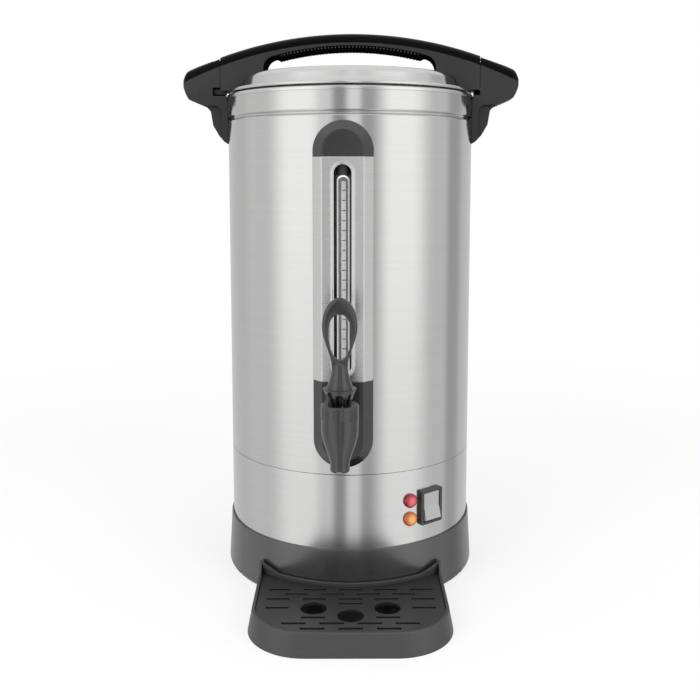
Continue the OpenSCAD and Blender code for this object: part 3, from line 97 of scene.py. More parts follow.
def calc(tree, operation, a, b=0.0, c=0.0, clamp=False):
    node = add(tree, "ShaderNodeMath", {0: a, 1: b, 2: c}, operation=operation, use_clamp=clamp)
    return node.outputs[0]


def step(tree, value, start, end):
    """Smooth step of a value from 0 at start to 1 at end."""
    node = add(
        tree, "ShaderNodeMapRange",
        {"Value": value, "From Min": start, "From Max": end, "To Min": 0.0, "To Max": 1.0},
        interpolation_type="SMOOTHSTEP",
    )
    return node.outputs["Result"]


def span(tree, value, lowest, highest):
    """A 0 to 1 value, stretched over a range."""
    return calc(tree, "MULTIPLY_ADD", value, highest - lowest, lowest)


def length(tree, a, b):
    """Length of the vector whose two parts are a and b."""
    square = calc(tree, "ADD", calc(tree, "MULTIPLY", a, a), calc(tree, "MULTIPLY", b, b))
    return calc(tree, "SQRT", square)


def place(tree):
    """Object coordinates, split into X, Y and Z."""
    coords = add(tree, "ShaderNodeTexCoord").outputs["Object"]
    return coords, add(tree, "ShaderNodeSeparateXYZ", {0: coords}).outputs


def noise(tree, coords, scale, detail):
    inputs = {"Vector": coords, "Scale": scale, "Detail": detail, "Roughness": 0.5}
    return add(tree, "ShaderNodeTexNoise", inputs).outputs["Fac"]


def blend_colours(tree, amount, first, second):
    node = add(tree, "ShaderNodeMix", {0: amount}, data_type="RGBA")
    for index, colour in ((6, first), (7, second)):
        if isinstance(colour, bpy.types.NodeSocket):
            tree.links.new(colour, node.inputs[index])
        else:
            node.inputs[index].default_value = colour
    return node.outputs[2]


def bump(tree, height, distance, strength=1.0, normal=None):
    inputs = {"Height": height, "Distance": distance, "Strength": strength}
    if normal is not None:
        inputs["Normal"] = normal
    return add(tree, "ShaderNodeBump", inputs).outputs["Normal"]


def soft_edges(tree, radius):
    return add(tree, "ShaderNodeBevel", {"Radius": radius}, samples=6).outputs["Normal"]


def edge_share(tree, rounded):
    """How far a rounded normal leans away from its face: 1 along an outer or inner edge."""
    flat = add(tree, "ShaderNodeNewGeometry").outputs["True Normal"]
    match = add(tree, "ShaderNodeVectorMath", {0: rounded, 1: flat}, operation="DOT_PRODUCT")
    return step(tree, match.outputs["Value"], 0.995, 0.7)


def open_share(tree, reach):
    """1 on open surfaces, falling towards 0 in grooves and corners that are narrower than reach."""
    return add(tree, "ShaderNodeAmbientOcclusion", {"Distance": reach}, samples=8).outputs["AO"]


def grey(level, warmth=0.0):
    """A near-neutral colour from an sRGB level of 0 to 255."""
    channels = [level + warmth, level, level - warmth]
    linear = [((c / 255 + 0.055) / 1.055) ** 2.4 if c > 10 else c / 255 / 12.92 for c in channels]
    return (*linear, 1.0)


def rgb(red, green, blue):
    return tuple(grey(level)[0] for level in (red, green, blue)) + (1.0,)


def new_material(name):
    material = bpy.data.materials.new(name)
    material.use_nodes = True
    tree = material.node_tree
    shader = tree.nodes["Principled BSDF"]
    return material, tree, shader


def wire(tree, shader, **sockets):
    """Links or sets the shader's sockets; a name's underscores stand for spaces."""
    for name, value in sockets.items():
        socket = shader.inputs[name.replace("_", " ")]
        if isinstance(value, bpy.types.NodeSocket):
            tree.links.new(value, socket)
        else:
            socket.default_value = value


# ---------------------------------------------------------------- steel

def around_axis(tree, stretch):
    """Coordinates wrapped round the urn's axis: metres along the arc, shortened by stretch, then height."""
    axis = place(tree)[1]
    angle = calc(tree, "ARCTAN2", axis["X"], calc(tree, "MULTIPLY", axis["Y"], -1.0))
    arc_length = calc(tree, "MULTIPLY", angle, BODY_R / stretch)
    return add(tree, "ShaderNodeCombineXYZ", {0: arc_length, 1: axis["Z"], 2: 0.0}).outputs[0]


def brushed_steel(name, level, roughness, stretch=60.0, lines=4200.0, anisotropy=0.8, edge=0.7):
    """Sheet steel with fine brush lines round the axis, which draw each reflection out up and down."""
    material, tree, shader = new_material(name)
    wrapped = around_axis(tree, stretch)
    fine = noise(tree, wrapped, lines, 3.0)
    broad = noise(tree, wrapped, lines / 12, 2.0)
    smudge = noise(tree, place(tree)[0], 9.0, 3.0)
    tone = calc(tree, "ADD", calc(tree, "MULTIPLY", fine, 0.6), calc(tree, "MULTIPLY", broad, 0.4))
    colour = blend_colours(tree, tone, grey(level - 6, 0.6), grey(level + 6, 0.2))
    shine = calc(tree, "ADD", span(tree, fine, roughness - 0.04, roughness + 0.04),
                 span(tree, smudge, -0.02, 0.02))
    tangent = add(tree, "ShaderNodeTangent", direction_type="RADIAL", axis="Z").outputs[0]
    wire(
        tree, shader, Base_Color=colour, Metallic=1.0, Roughness=shine, Anisotropic=anisotropy,
        Anisotropic_Rotation=0.25, Tangent=tangent,
        Normal=bump(tree, fine, 0.01 * MM, 0.25, soft_edges(tree, edge * MM)),
    )
    return material


def polished_steel(name, level=212, roughness=0.18):
    """Drawn steel that is smoother than the body, with a faint spun grain."""
    return brushed_steel(name, level, roughness, stretch=25.0, lines=2600.0, anisotropy=0.4)


def cast_metal(name, colour, roughness, mottle=380.0):
    material, tree, shader = new_material(name)
    coords = place(tree)[0]
    grain = noise(tree, coords, mottle, 4.0)
    darker = tuple(0.72 * c for c in colour[:3]) + (1.0,)
    wire(
        tree, shader, Base_Color=blend_colours(tree, grain, darker, colour), Metallic=1.0,
        Roughness=span(tree, grain, roughness - 0.07, roughness + 0.07),
        Normal=bump(tree, grain, 0.04 * MM, 0.5),
    )
    return material


# ---------------------------------------------------------------- moulded plastic and rubber

def tone_with_painted_light(tree, drift, rounded, tones, highlight_tone, shade_tone, shade_reach):
    """Two drifting tones, with a painted highlight along edges and painted shade in grooves and corners."""
    # Painted highlight: edges are lightened where the rounded normal leans away from the face.
    highlit_edges = calc(tree, "MULTIPLY", edge_share(tree, rounded), span(tree, drift, 0.3, 1.0), clamp=True)
    colour = blend_colours(tree, drift, *tones)
    colour = blend_colours(tree, highlit_edges, colour, highlight_tone)
    # Painted shade: ambient occlusion darkens grooves and corners.
    unshaded_parts = step(tree, open_share(tree, shade_reach), 0.1, 0.8)
    return blend_colours(tree, unshaded_parts, shade_tone, colour)


def moulded(name, level, roughness=0.45, grain_size=0.45, depth=0.02, edge=0.5, specular=0.5, warmth=0.0,
            edge_highlight=26, crease_shade=0.55, ior=1.5):
    """Moulded plastic: spark-eroded grain, drifts of tone, painted highlights along edges and painted shade
    in grooves.
    """
    material, tree, shader = new_material(name)
    coords = place(tree)[0]
    grain = noise(tree, coords, 1 / (grain_size * MM), 2.0)
    drift = noise(tree, coords, 28.0, 3.0)
    rounded = soft_edges(tree, edge * MM)
    tones = (grey(level - 4, warmth), grey(level + 4, warmth))
    # Painted highlight for the edges, painted shade for the grooves.
    highlight_tone, shade_tone = grey(level + edge_highlight, warmth), grey(level * crease_shade, warmth)
    colour = tone_with_painted_light(tree, drift, rounded, tones, highlight_tone, shade_tone, 5 * MM)
    wire(
        tree, shader, Base_Color=colour, Normal=bump(tree, grain, depth * MM, 0.6, rounded),
        Roughness=calc(tree, "ADD", span(tree, grain, roughness - 0.06, roughness + 0.06),
                       span(tree, drift, -0.04, 0.04)),
        Specular_IOR_Level=specular, IOR=ior,
    )
    return material


def reach_from(tree, axis, centre_z):
    """Distance from a line along Y through the urn's axis, for bands that follow the handles' arcs."""
    return length(tree, axis["X"], calc(tree, "SUBTRACT", axis["Z"], centre_z))


def handle_plastic(name):
    """Satin grey faces under a smoother black crest that runs along the top of the arch."""
    material, tree, shader = new_material(name)
    coords, axis = place(tree)
    outer = reach_from(tree, axis, ARCH_TOP - ARCH_R)
    black = step(tree, outer, ARCH_R - CREST_H - 0.3 * MM, ARCH_R - CREST_H + 0.3 * MM)
    grain = noise(tree, coords, 1 / (0.5 * MM), 2.0)
    drift = noise(tree, coords, 24.0, 3.0)
    rounded = soft_edges(tree, 0.6 * MM)
    # The grey faces carry a painted highlight along edges (grey 84) and painted shade in grooves (grey 20).
    face = tone_with_painted_light(tree, drift, rounded, (grey(50), grey(58)), grey(84), grey(20), 4 * MM)
    wire(
        tree, shader, Base_Color=blend_colours(tree, black, face, grey(4)),
        Roughness=calc(tree, "ADD", span(tree, black, 0.46, 0.26), span(tree, grain, -0.05, 0.05)),
        Normal=bump(tree, grain, 0.02 * MM, 0.5, rounded), Specular_IOR_Level=0.08,
    )
    return material


def grip_rubber(name):
    """Dull black grip with small painted highlights along its front and back edges, one to a ridge."""
    material, tree, shader = new_material(name)
    coords, axis = place(tree)
    centre_z = ARCH_TOP - ARCH_T - GRIP_R
    inner = reach_from(tree, axis, centre_z)
    turn = calc(tree, "ARCTAN2", axis["X"], calc(tree, "SUBTRACT", axis["Z"], centre_z))
    along = calc(tree, "MULTIPLY", turn, GRIP_R / RIDGE_PITCH)
    beside = calc(tree, "MULTIPLY", calc(tree, "PINGPONG", along, 0.5), RIDGE_PITCH)
    below = calc(tree, "SUBTRACT", inner, GRIP_R - 1.2 * MM)
    # Painted highlight: a light dot at each ridge's end stands in for its glint.
    ridge_glint = calc(tree, "MULTIPLY", step(tree, length(tree, beside, below), 0.65 * MM, 0.35 * MM),
               step(tree, calc(tree, "ABSOLUTE", axis["Y"]), 11 * MM, 12 * MM))
    ridge_glint = calc(tree, "MULTIPLY", ridge_glint, step(tree, calc(tree, "ABSOLUTE", axis["X"]), 62 * MM, 60 * MM))
    grain = noise(tree, coords, 1 / (0.4 * MM), 3.0)
    black = blend_colours(tree, grain, grey(10), grey(18))
    wire(
        tree, shader, Base_Color=blend_colours(tree, ridge_glint, black, grey(112)),
        Roughness=span(tree, grain, 0.7, 0.85), Normal=bump(tree, grain, 0.03 * MM, 0.6),
        Specular_IOR_Level=0.0,
    )
    return material


def clear_plastic(name):
    """Clear tube: see-through where it faces the eye, with painted light lines along its sides and round a
    painted closed top, which also glow.
    """
    material, tree, shader = new_material(name)
    coords, axis = place(tree)
    haze = noise(tree, coords, 220.0, 3.0)
    above = calc(tree, "MAXIMUM", calc(tree, "SUBTRACT", axis["Z"], TUBE_END - TUBE_R), 0.0)
    aside = calc(tree, "ABSOLUTE", axis["X"])
    outward = length(tree, above, aside)
    wall = step(tree, outward, 0.74 * TUBE_R, 0.9 * TUBE_R)
    past_end = step(tree, outward, 1.0 * TUBE_R, 1.04 * TUBE_R)
    # Painted light: the light lines on the walls and round the end are painted and glow, though the tube is
    # no lamp.
    painted_wall_light = calc(tree, "MULTIPLY", wall, calc(tree, "SUBTRACT", 1.0, past_end))
    wire(
        tree, shader, Base_Color=grey(246), Roughness=span(tree, haze, 0.06, 0.14),
        Alpha=calc(tree, "ADD", span(tree, painted_wall_light, 0.05, 0.9), span(tree, haze, -0.02, 0.03)), IOR=1.45,
        Emission_Color=grey(255), Emission_Strength=calc(tree, "MULTIPLY", painted_wall_light, 0.45),
    )
    return material


def lens(name, centre, edge_colour, glow_colour, radius):
    """Tinted lens: a painted glow over the lamp inside it, deeper towards its rim, with a moulded ripple.
    """
    material, tree, shader = new_material(name)
    coords = place(tree)[0]
    away = add(tree, "ShaderNodeVectorMath", {0: coords, 1: centre}, operation="DISTANCE").outputs["Value"]
    ring = step(tree, away, 0.35 * radius, 1.02 * radius)
    ripple = noise(tree, coords, 900.0, 1.0)
    # Painted glow: the lighter middle is painted into the lens's colour.
    colour = blend_colours(tree, ring, glow_colour, edge_colour)
    wire(
        tree, shader, Base_Color=colour, Roughness=span(tree, ripple, 0.08, 0.16),
        Subsurface_Weight=0.25, Subsurface_Scale=2 * MM, Coat_Weight=0.5,
        Emission_Color=colour, Emission_Strength=0.12, Normal=bump(tree, ripple, 0.05 * MM, 0.25),
    )
    return material


def scale_white(name):
    material, tree, shader = new_material(name)
    coords = place(tree)[0]
    stain = noise(tree, coords, 300.0, 3.0)
    wire(
        tree, shader, Base_Color=blend_colours(tree, stain, grey(236, 1), grey(250, 1)),
        Roughness=span(tree, stain, 0.35, 0.5),
    )
    return material


def make_lens(node, name, edge_colour, glow_colour):
    radius = (high(node).z - low(node).z) / 2
    centre = middle(node)
    face = Vector((centre.x, centre.y, 0)).normalized() * (BODY_R + 2 * MM)
    return lens(name, (face.x, face.y, centre.z), edge_colour, glow_colour, radius)


# In the moulded finishes below, the lighter edges are painted highlights and the darker grooves are painted
# shade.
MATERIALS = {
    "brushed_body": brushed_steel("brushed_body", 203, 0.17),
    "bright_steel": polished_steel("bright_steel"),
    "screw_steel": polished_steel("screw_steel", 190, 0.24),
    "base_plastic": moulded("base_plastic", 44, 0.24, edge=0.8, specular=1.0, crease_shade=0.8, ior=1.6),
    "handle_plastic": handle_plastic("handle_plastic"),
    "tap_plastic": moulded(
        "tap_plastic", 22, 0.18, grain_size=0.35, edge=0.5, specular=0.85, edge_highlight=60, crease_shade=0.3, ior=1.55,
    ),
    "tray_plastic": moulded("tray_plastic", 60, 0.42, grain_size=0.6, edge=0.7, edge_highlight=45),
    "rubber_foot": moulded("rubber_foot", 52, 0.75, grain_size=0.8, depth=0.05),
    "silicone": moulded("silicone", 205, 0.5, specular=0.4, warmth=2),
    "dark_silicone": moulded("dark_silicone", 40, 0.55),
    "gauge_clear": clear_plastic("gauge_clear"),
    "scale_white": scale_white("scale_white"),
    "red_lens": make_lens("pilot_lamp_red", "red_lens", rgb(132, 16, 36), rgb(222, 92, 104)),
    "amber_lens": make_lens("pilot_lamp_amber", "amber_lens", rgb(176, 92, 30), rgb(238, 166, 96)),
    "switch_black": moulded("switch_black", 58, 0.38, edge=0.3),
    "rocker_grey": moulded("rocker_grey", 172, 0.2, grain_size=0.7, edge=0.6, edge_highlight=50, crease_shade=0.6),
    "heater_alloy": cast_metal("heater_alloy", grey(196), 0.42),
    "element_sheath": cast_metal("element_sheath", grey(118, 3), 0.4, mottle=900.0),
    "thermostat_black": moulded("thermostat_black", 44, 0.4),
    "cutout_body": moulded("cutout_body", 188, 0.55, warmth=6),
    "contact_brass": cast_metal("contact_brass", rgb(206, 172, 104), 0.3, mottle=1200.0),
    # The valve stem is set near black so that the crown's slots look dark, in part painted shade; its own
    # colour is not known.
    "valve_acetal": moulded("valve_acetal", 30, 0.35),
}


# Nodes whose finish differs a little from the rest of their slot
OWN_LOOKS = {
    # The grille is set darker than the tray: painted shade for the inside of the tray, with its slots
    # painted darker still.
    "drip_grille": moulded("tray_plastic_shaded", 40, 0.36, grain_size=0.6, edge=0.5, edge_highlight=24, crease_shade=0.1),
    "column_panel": brushed_steel("brushed_panel", 215, 0.26, anisotropy=0.3, edge=1.5),
}


def dress_nodes():
    for name, node in nodes.items():
        for place_of_material in node.material_slots:
            shared = MATERIALS[place_of_material.material.name]
            place_of_material.material = OWN_LOOKS.get(name, shared)


dress_nodes()


# ---------------------------------------------------------------- pieces in mesh code

def placed(name, data):
    """A new object in the scene."""
    thing = bpy.data.objects.new(name, data)
    bpy.context.scene.collection.objects.link(thing)
    return thing


def solid(name, points, faces):
    """A closed mesh object from points in millimetres, with its faces turned outwards."""
    mesh = bpy.data.meshes.new(name)
    mesh.from_pydata([[c * MM for c in point] for point in points], [], faces)
    shape = bmesh.new()
    shape.from_mesh(mesh)
    bmesh.ops.recalc_face_normals(shape, faces=shape.faces)
    shape.to_mesh(mesh)
    shape.free()
    return placed(name, mesh)


def smooth_faces(piece, sharpest=35):
    for face in piece.data.polygons:
        face.use_smooth = True
    piece.data.set_sharp_from_angle(angle=math.radians(sharpest))


def finished(piece, slot, body, replaced=(), look=None):
    """Gives a piece its finish and the body it rides on, and hides the nodes that it stands for."""
    smooth_faces(piece)
    piece.data.materials.clear()
    piece.data.materials.append(look or MATERIALS[slot])
    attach(piece, body)
    if replaced:
        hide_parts(*replaced)
    return piece


def strip(here, ahead):
    """Faces between two rings of equal length."""
    count = len(here)
    return [(here[j], here[(j + 1) % count], ahead[(j + 1) % count], ahead[j]) for j in range(count)]


def band(rows):
    """Faces that join rings of equal length, each to the next and the last to the first."""
    return [face for i in range(len(rows)) for face in strip(rows[i], rows[(i + 1) % len(rows)])]


def numbered(rings):
    """The rings' points in one list, and each ring as the numbers of its points."""
    points = [point for ring in rings for point in ring]
    size = len(rings[0])
    return points, [[i * size + j for j in range(size)] for i in range(len(rings))]


def lathe(name, profile, origin, axis, count=72):
    """Closed profile of (radius, height) points turned round an axis; radii stay above zero."""
    ahead = Vector(axis).normalized()
    side = ahead.orthogonal().normalized()
    up = ahead.cross(side)
    rings = []
    for i in range(count):
        turn = math.tau * i / count
        out = side * math.cos(turn) + up * math.sin(turn)
        rings.append([Vector(origin) + out * r + ahead * h for r, h in profile])
    points, rows = numbered(rings)
    return solid(name, points, band(rows))


def drill(name, radius, reach, origin, axis, count):
    """Round cutting bar that reaches equally far both ways along its axis."""
    profile = [(0.01, -reach), (radius, -reach), (radius, reach), (0.01, reach)]
    return lathe(name, profile, origin, axis, count)


def turned(name, profile, origin, count=72):
    """Open profile of (radius, height) points, which starts and ends on the axis, turned round Z."""
    x, y = origin
    points = [(x, y, profile[0][1]), (x, y, profile[-1][1])]
    inner = profile[1:-1]
    size = len(inner)
    for i in range(count):
        turn = math.tau * i / count
        points += [(x + r * math.cos(turn), y + r * math.sin(turn), z) for r, z in inner]
    faces = []
    for i in range(count):
        here, ahead = 2 + i * size, 2 + (i + 1) % count * size
        faces.append((0, here, ahead))
        faces += [(here + j, ahead + j, ahead + j + 1, here + j + 1) for j in range(size - 1)]
        faces.append((here + size - 1, 1, ahead + size - 1))
    return solid(name, points, [tuple(reversed(face)) for face in faces])


def block(name, corner_a, corner_b, turn=0.0, origin=(0, 0)):
    """Cutting block between two corners, turned round Z about an origin."""
    points = []
    for x in (corner_a[0], corner_b[0]):
        for y in (corner_a[1], corner_b[1]):
            for z in (corner_a[2], corner_b[2]):
                points.append((
                    origin[0] + x * math.cos(turn) - y * math.sin(turn),
                    origin[1] + x * math.sin(turn) + y * math.cos(turn), z,
                ))
    faces = [(0, 1, 3, 2), (4, 6, 7, 5), (0, 4, 5, 1), (2, 3, 7, 6), (0, 2, 6, 4), (1, 5, 7, 3)]
    return solid(name, points, faces)


def carve(piece, tools, operation):
    """Applies a boolean with each tool, and removes the tools."""
    for tool in tools:
        modifier = piece.modifiers.new(tool.name, "BOOLEAN")
        modifier.operation = operation
        modifier.solver = "EXACT"
        modifier.object = tool
    evaluated = piece.evaluated_get(bpy.context.evaluated_depsgraph_get())
    mesh = bpy.data.meshes.new_from_object(evaluated)
    piece.modifiers.clear()
    piece.data = mesh
    for tool in tools:
        bpy.data.objects.remove(tool)


def copied(name, node):
    """A copy of a node's solid with its split corners joined, to be carved into a new piece."""
    mesh = nodes[node].data.copy()
    mesh.name = name
    shape = bmesh.new()
    shape.from_mesh(mesh)
    bmesh.ops.remove_doubles(shape, verts=shape.verts, dist=1e-6)
    shape.to_mesh(mesh)
    shape.free()
    own_normals = mesh.attributes.get("custom_normal")
    if own_normals:
        mesh.attributes.remove(own_normals)
    return placed(name, mesh)


def loft(name, rings):
    """Rings of equal length joined in order, with flat ends."""
    points, rows = numbered(rings)
    faces = [face for here, ahead in zip(rows, rows[1:]) for face in strip(here, ahead)]
    return solid(name, points, faces + [tuple(rows[0]), tuple(rows[-1])])


# ---- lever

TAP_Y = middle("tap_lever").y / MM
LEVER_FOOT = low("tap_lever").z / MM
LEVER_TOP = high("tap_lever").z / MM
LOOP_H = 53.2
LOOP_HALF = 13.4
LOOP_BAR = 5.0
LOOP_DEPTH = 8.0
LOOP_WIDEST = 0.6
HOLE_WIDEST = 0.54
HOLE_FOOT = 5.8
THUMB_PAD = 12.2
NECK_R = 6.1
SKIRT_R = 12.7
CROWN_R = 8.2
CROWN_WALL = 2.2
WIDE_SLOT = 5.5
NARROW_SLOT = 2.4
NECK_Z = LEVER_TOP - LOOP_H
SKIRT_Z = LEVER_FOOT + 11.2
SHELF_Z = SKIRT_Z + 0.5
BELL_R = 9.7
PIN_Z = middle("lever_pin").z / MM


def ease(t):
    return (1 - math.cos(math.pi * t)) / 2


def loop_outline():
    """Right half of the loop from under its neck to its top, as (x, height over the neck)."""
    outline = [(0.0, -4.0), (NECK_R, -4.0)]
    for i in range(60):
        x = NECK_R + (LOOP_HALF - NECK_R) * ease(i / 60)
        outline.append((x, i / 60 * LOOP_WIDEST * LOOP_H))
    for i in range(61):
        turn = math.pi / 2 * i / 60
        h = LOOP_H * (LOOP_WIDEST + (1 - LOOP_WIDEST) * math.sin(turn))
        outline.append((LOOP_HALF * math.cos(turn), h))
    return outline


def hole_outline():
    """Right half of the finger hole from its foot to its top, as (x, height over the neck)."""
    height = LOOP_H - HOLE_FOOT - THUMB_PAD
    right = []
    for i in range(121):
        share = ease(i / 120)
        if share < HOLE_WIDEST:
            width = math.sqrt(1 - (1 - share / HOLE_WIDEST) ** 2)
        else:
            width = math.sqrt(max(0.0, 1 - ((share - HOLE_WIDEST) / (1 - HOLE_WIDEST)) ** 3))
        right.append(((LOOP_HALF - LOOP_BAR) * width, HOLE_FOOT + share * height))
    return right


def reach_along(outline, centre_h, turn):
    """Distance from the loop's centre to a right-hand outline, at an angle up from the right."""
    dx, dh = abs(math.cos(turn)), math.sin(turn)
    for (x0, h0), (x1, h1) in zip(outline, outline[1:]):
        side0 = x0 * dh - (h0 - centre_h) * dx
        side1 = x1 * dh - (h1 - centre_h) * dx
        if side0 * side1 <= 0 and side0 != side1:
            share = side0 / (side0 - side1)
            x, h = x0 + share * (x1 - x0), h0 + share * (h1 - h0)
            if x * dx + (h - centre_h) * dh > 0:
                return math.hypot(x, h - centre_h)
    raise ValueError("the outline does not surround the loop's centre")


def bar_section(inner, outer):
    """Section of the loop's bar as (distance, y): well rounded outside, lightly rounded at the hole."""
    half = LOOP_DEPTH / 2
    wide, deep, small = min(3.2, 0.6 * (outer - inner)), 2.4, 1.3
    quarter = [math.pi / 2 * k / 5 for k in range(6)]
    rear_outer = [(outer - wide * (1 - math.cos(q)), half - deep * (1 - math.sin(q))) for q in quarter]
    rear_inner = [(inner + small * (1 - math.sin(q)), half - small * (1 - math.cos(q))) for q in quarter]
    rear = rear_outer + rear_inner
    return rear + [(distance, -y) for distance, y in reversed(rear)]


def lever_loop(count=112):
    centre_h = 25.0
    outer_side, hole_side = loop_outline(), hole_outline()
    rings = []
    for i in range(count):
        turn = math.tau * (i + 0.5) / count
        inner = reach_along(hole_side, centre_h, turn)
        section = bar_section(inner, reach_along(outer_side, centre_h, turn))
        rings.append([
            (distance * math.cos(turn), TAP_Y + y, NECK_Z + centre_h + distance * math.sin(turn))
            for distance, y in section
        ])
    points, rows = numbered(rings)
    return solid("loop", points, band(rows))


def lever_stalk():
    """Crown whose prongs end in a narrow shelf, and a bell over it that draws in to the neck."""
    profile = [
        (0, LEVER_FOOT), (CROWN_R, LEVER_FOOT), (CROWN_R + 0.1, LEVER_FOOT + 0.3),
        (SKIRT_R - 0.4, SHELF_Z - 1.1), (SKIRT_R, SHELF_Z - 0.6), (SKIRT_R - 0.1, SHELF_Z - 0.1),
        (SKIRT_R - 0.6, SHELF_Z), (BELL_R + 0.2, SHELF_Z - 0.1), (BELL_R - 0.1, SHELF_Z + 0.4),
    ]
    lift = 1.6
    for i in range(15):
        share = i / 14
        flare = (1 - share) ** 1.6
        z = SHELF_Z + lift + (NECK_Z - SHELF_Z - lift) * share
        profile.append((NECK_R + (BELL_R - NECK_R) * flare, z))
    profile += [(5.9, NECK_Z + 1.5), (5.3, NECK_Z + 3.0), (4.3, NECK_Z + 4.3), (3.0, NECK_Z + 5.2)]
    return turned("lever_grip", profile + [(0, NECK_Z + 5.6)], (0, TAP_Y))


def make_lever():
    """Lever in one smooth piece: slotted crown, flared skirt, neck and finger loop."""
    lever = lever_stalk()
    inner_r = CROWN_R - CROWN_WALL
    hollow = turned("hollow", [
        (0, LEVER_FOOT - 1), (inner_r, LEVER_FOOT - 1), (inner_r, LEVER_FOOT),
        (SKIRT_R - 3.2, SKIRT_Z - 1), (0, SKIRT_Z + 4),
    ], (0, TAP_Y))
    slots = []
    for degrees in (0, 180, 45, 135, 225, 315):
        width = WIDE_SLOT if degrees in (0, 180) else NARROW_SLOT
        inner_end = (-width / 2, CROWN_R - 4, LEVER_FOOT - 1)
        outer_end = (width / 2, CROWN_R + 5, LEVER_FOOT + 8.5)
        slots.append(block(f"slot_{degrees}", inner_end, outer_end, math.radians(degrees), (0, TAP_Y)))
    pin_bore = drill("pin_bore", 1.5, 20, (0, TAP_Y, PIN_Z), (1, 0, 0), 32)
    carve(lever, [hollow, *slots, pin_bore], "DIFFERENCE")
    carve(lever, [lever_loop()], "UNION")
    return finished(lever, "tap_plastic", "lever", ["tap_lever"])


# ---- window lip and lamp rims

LIP_W = 2.4
LIP_PROUD = 0.95
LIP_SUNK = -0.3
# The window in the panel, as in the part's source
WINDOW_R = 7.0
WINDOW_FOOT = 198.5
WINDOW_TOP = 365.5


def make_window_lip():
    """Bright rolled lip round the gauge window."""
    face_y = low("column_panel").y / MM + 0.5
    section = [(-LIP_W / 2, LIP_SUNK)]
    for k in range(9):
        turn = math.pi * k / 8
        section.append((-LIP_W / 2 * math.cos(turn), LIP_PROUD * math.sin(turn)))
    section.append((LIP_W / 2, LIP_SUNK))
    rings = []
    for i in range(96):
        turn = math.tau * (i + 0.5) / 96
        end_z = WINDOW_TOP if math.sin(turn) > 0 else WINDOW_FOOT
        centre_z = end_z - math.copysign(WINDOW_R, math.sin(turn))
        rings.append([
            ((WINDOW_R + LIP_W / 2 + across) * math.cos(turn), face_y - proud,
             centre_z + (WINDOW_R + LIP_W / 2 + across) * math.sin(turn))
            for across, proud in section
        ])
    points, rows = numbered(rings)
    return finished(solid("window_lip", points, band(rows)), "bright_steel", "urn")


def make_lamp_rim(name, lamp, slot, replaced=()):
    """Slim moulded rim round a pilot lamp's lens, in the lens's own colour."""
    centre = middle(lamp)
    out = Vector((centre.x, centre.y, 0)).normalized()
    foot = out * (BODY_R / MM) + Vector((0, 0, centre.z / MM))
    profile = [(5.3, 0.05), (5.3, 1.7), (5.5, 2.1), (5.8, 2.1), (6.05, 1.7), (6.15, 1.0), (6.15, 0.05)]
    return finished(lathe(name, profile, foot, out, 48), slot, "urn", replaced)


# ---- tap barrel

SPOUT_Z = low("tap_body").z / MM
SPOUT_R = 7.5
BARREL_R = 14.2
BARREL_FOOT = SPOUT_Z + 7
BARREL_BELLY = SPOUT_Z + 33.8
BARREL_TOP = SPOUT_Z + 41.7
SEAT_Z = SPOUT_Z + 15.5
SCALLOP_R = 3.4


def make_tap_barrel():
    """Tap body with one smooth outside from the spout's end to the bonnet, and a scalloped spout end."""
    skin_r = SPOUT_R + 0.05
    outside = [(6.7, SPOUT_Z), (7.2, SPOUT_Z + 0.3), (skin_r, SPOUT_Z + 0.9)]
    for i in range(25):
        bulge = math.sin(math.pi / 2 * i / 24) ** 1.25
        z = BARREL_FOOT + (BARREL_BELLY - BARREL_FOOT) * i / 24
        outside.append((skin_r + (BARREL_R - SPOUT_R) * bulge, z))
    outside.append((BARREL_R + 0.05, BARREL_TOP))
    inside = [
        (BARREL_R - 1.2, BARREL_TOP), (10.8, SEAT_Z + 4.5), (9.3, SEAT_Z + 0.8), (8.2, SEAT_Z - 0.8),
        (5.2, SPOUT_Z + 6), (4.8, SPOUT_Z),
    ]
    skin = lathe("skin", outside + inside, (0, TAP_Y, 0), (0, 0, 1), 96)
    barrel = copied("tap_barrel", "tap_body")
    carve(barrel, [skin], "UNION")
    scallop = drill("scallop", SCALLOP_R, 12, (0, TAP_Y, SPOUT_Z - 1.8), (0, 1, 0), 40)
    carve(barrel, [scallop], "DIFFERENCE")
    return finished(barrel, "tap_plastic", "urn", ["tap_body"])


# ---- grip and handle ends

LINER_HALF_Y = 14.6
LINER_CORNER = 11.0
# Arc from the middle of the ridged pad to each end, and the steps over which it rises
PAD_HALF = 68.6
PAD_RAMP = 7
HANDLE_TIP = 151.0
HANDLE_HALF_Y = 15.0
HANDLE_SOFT = 7.5
HANDLE_CORNER = 6.0


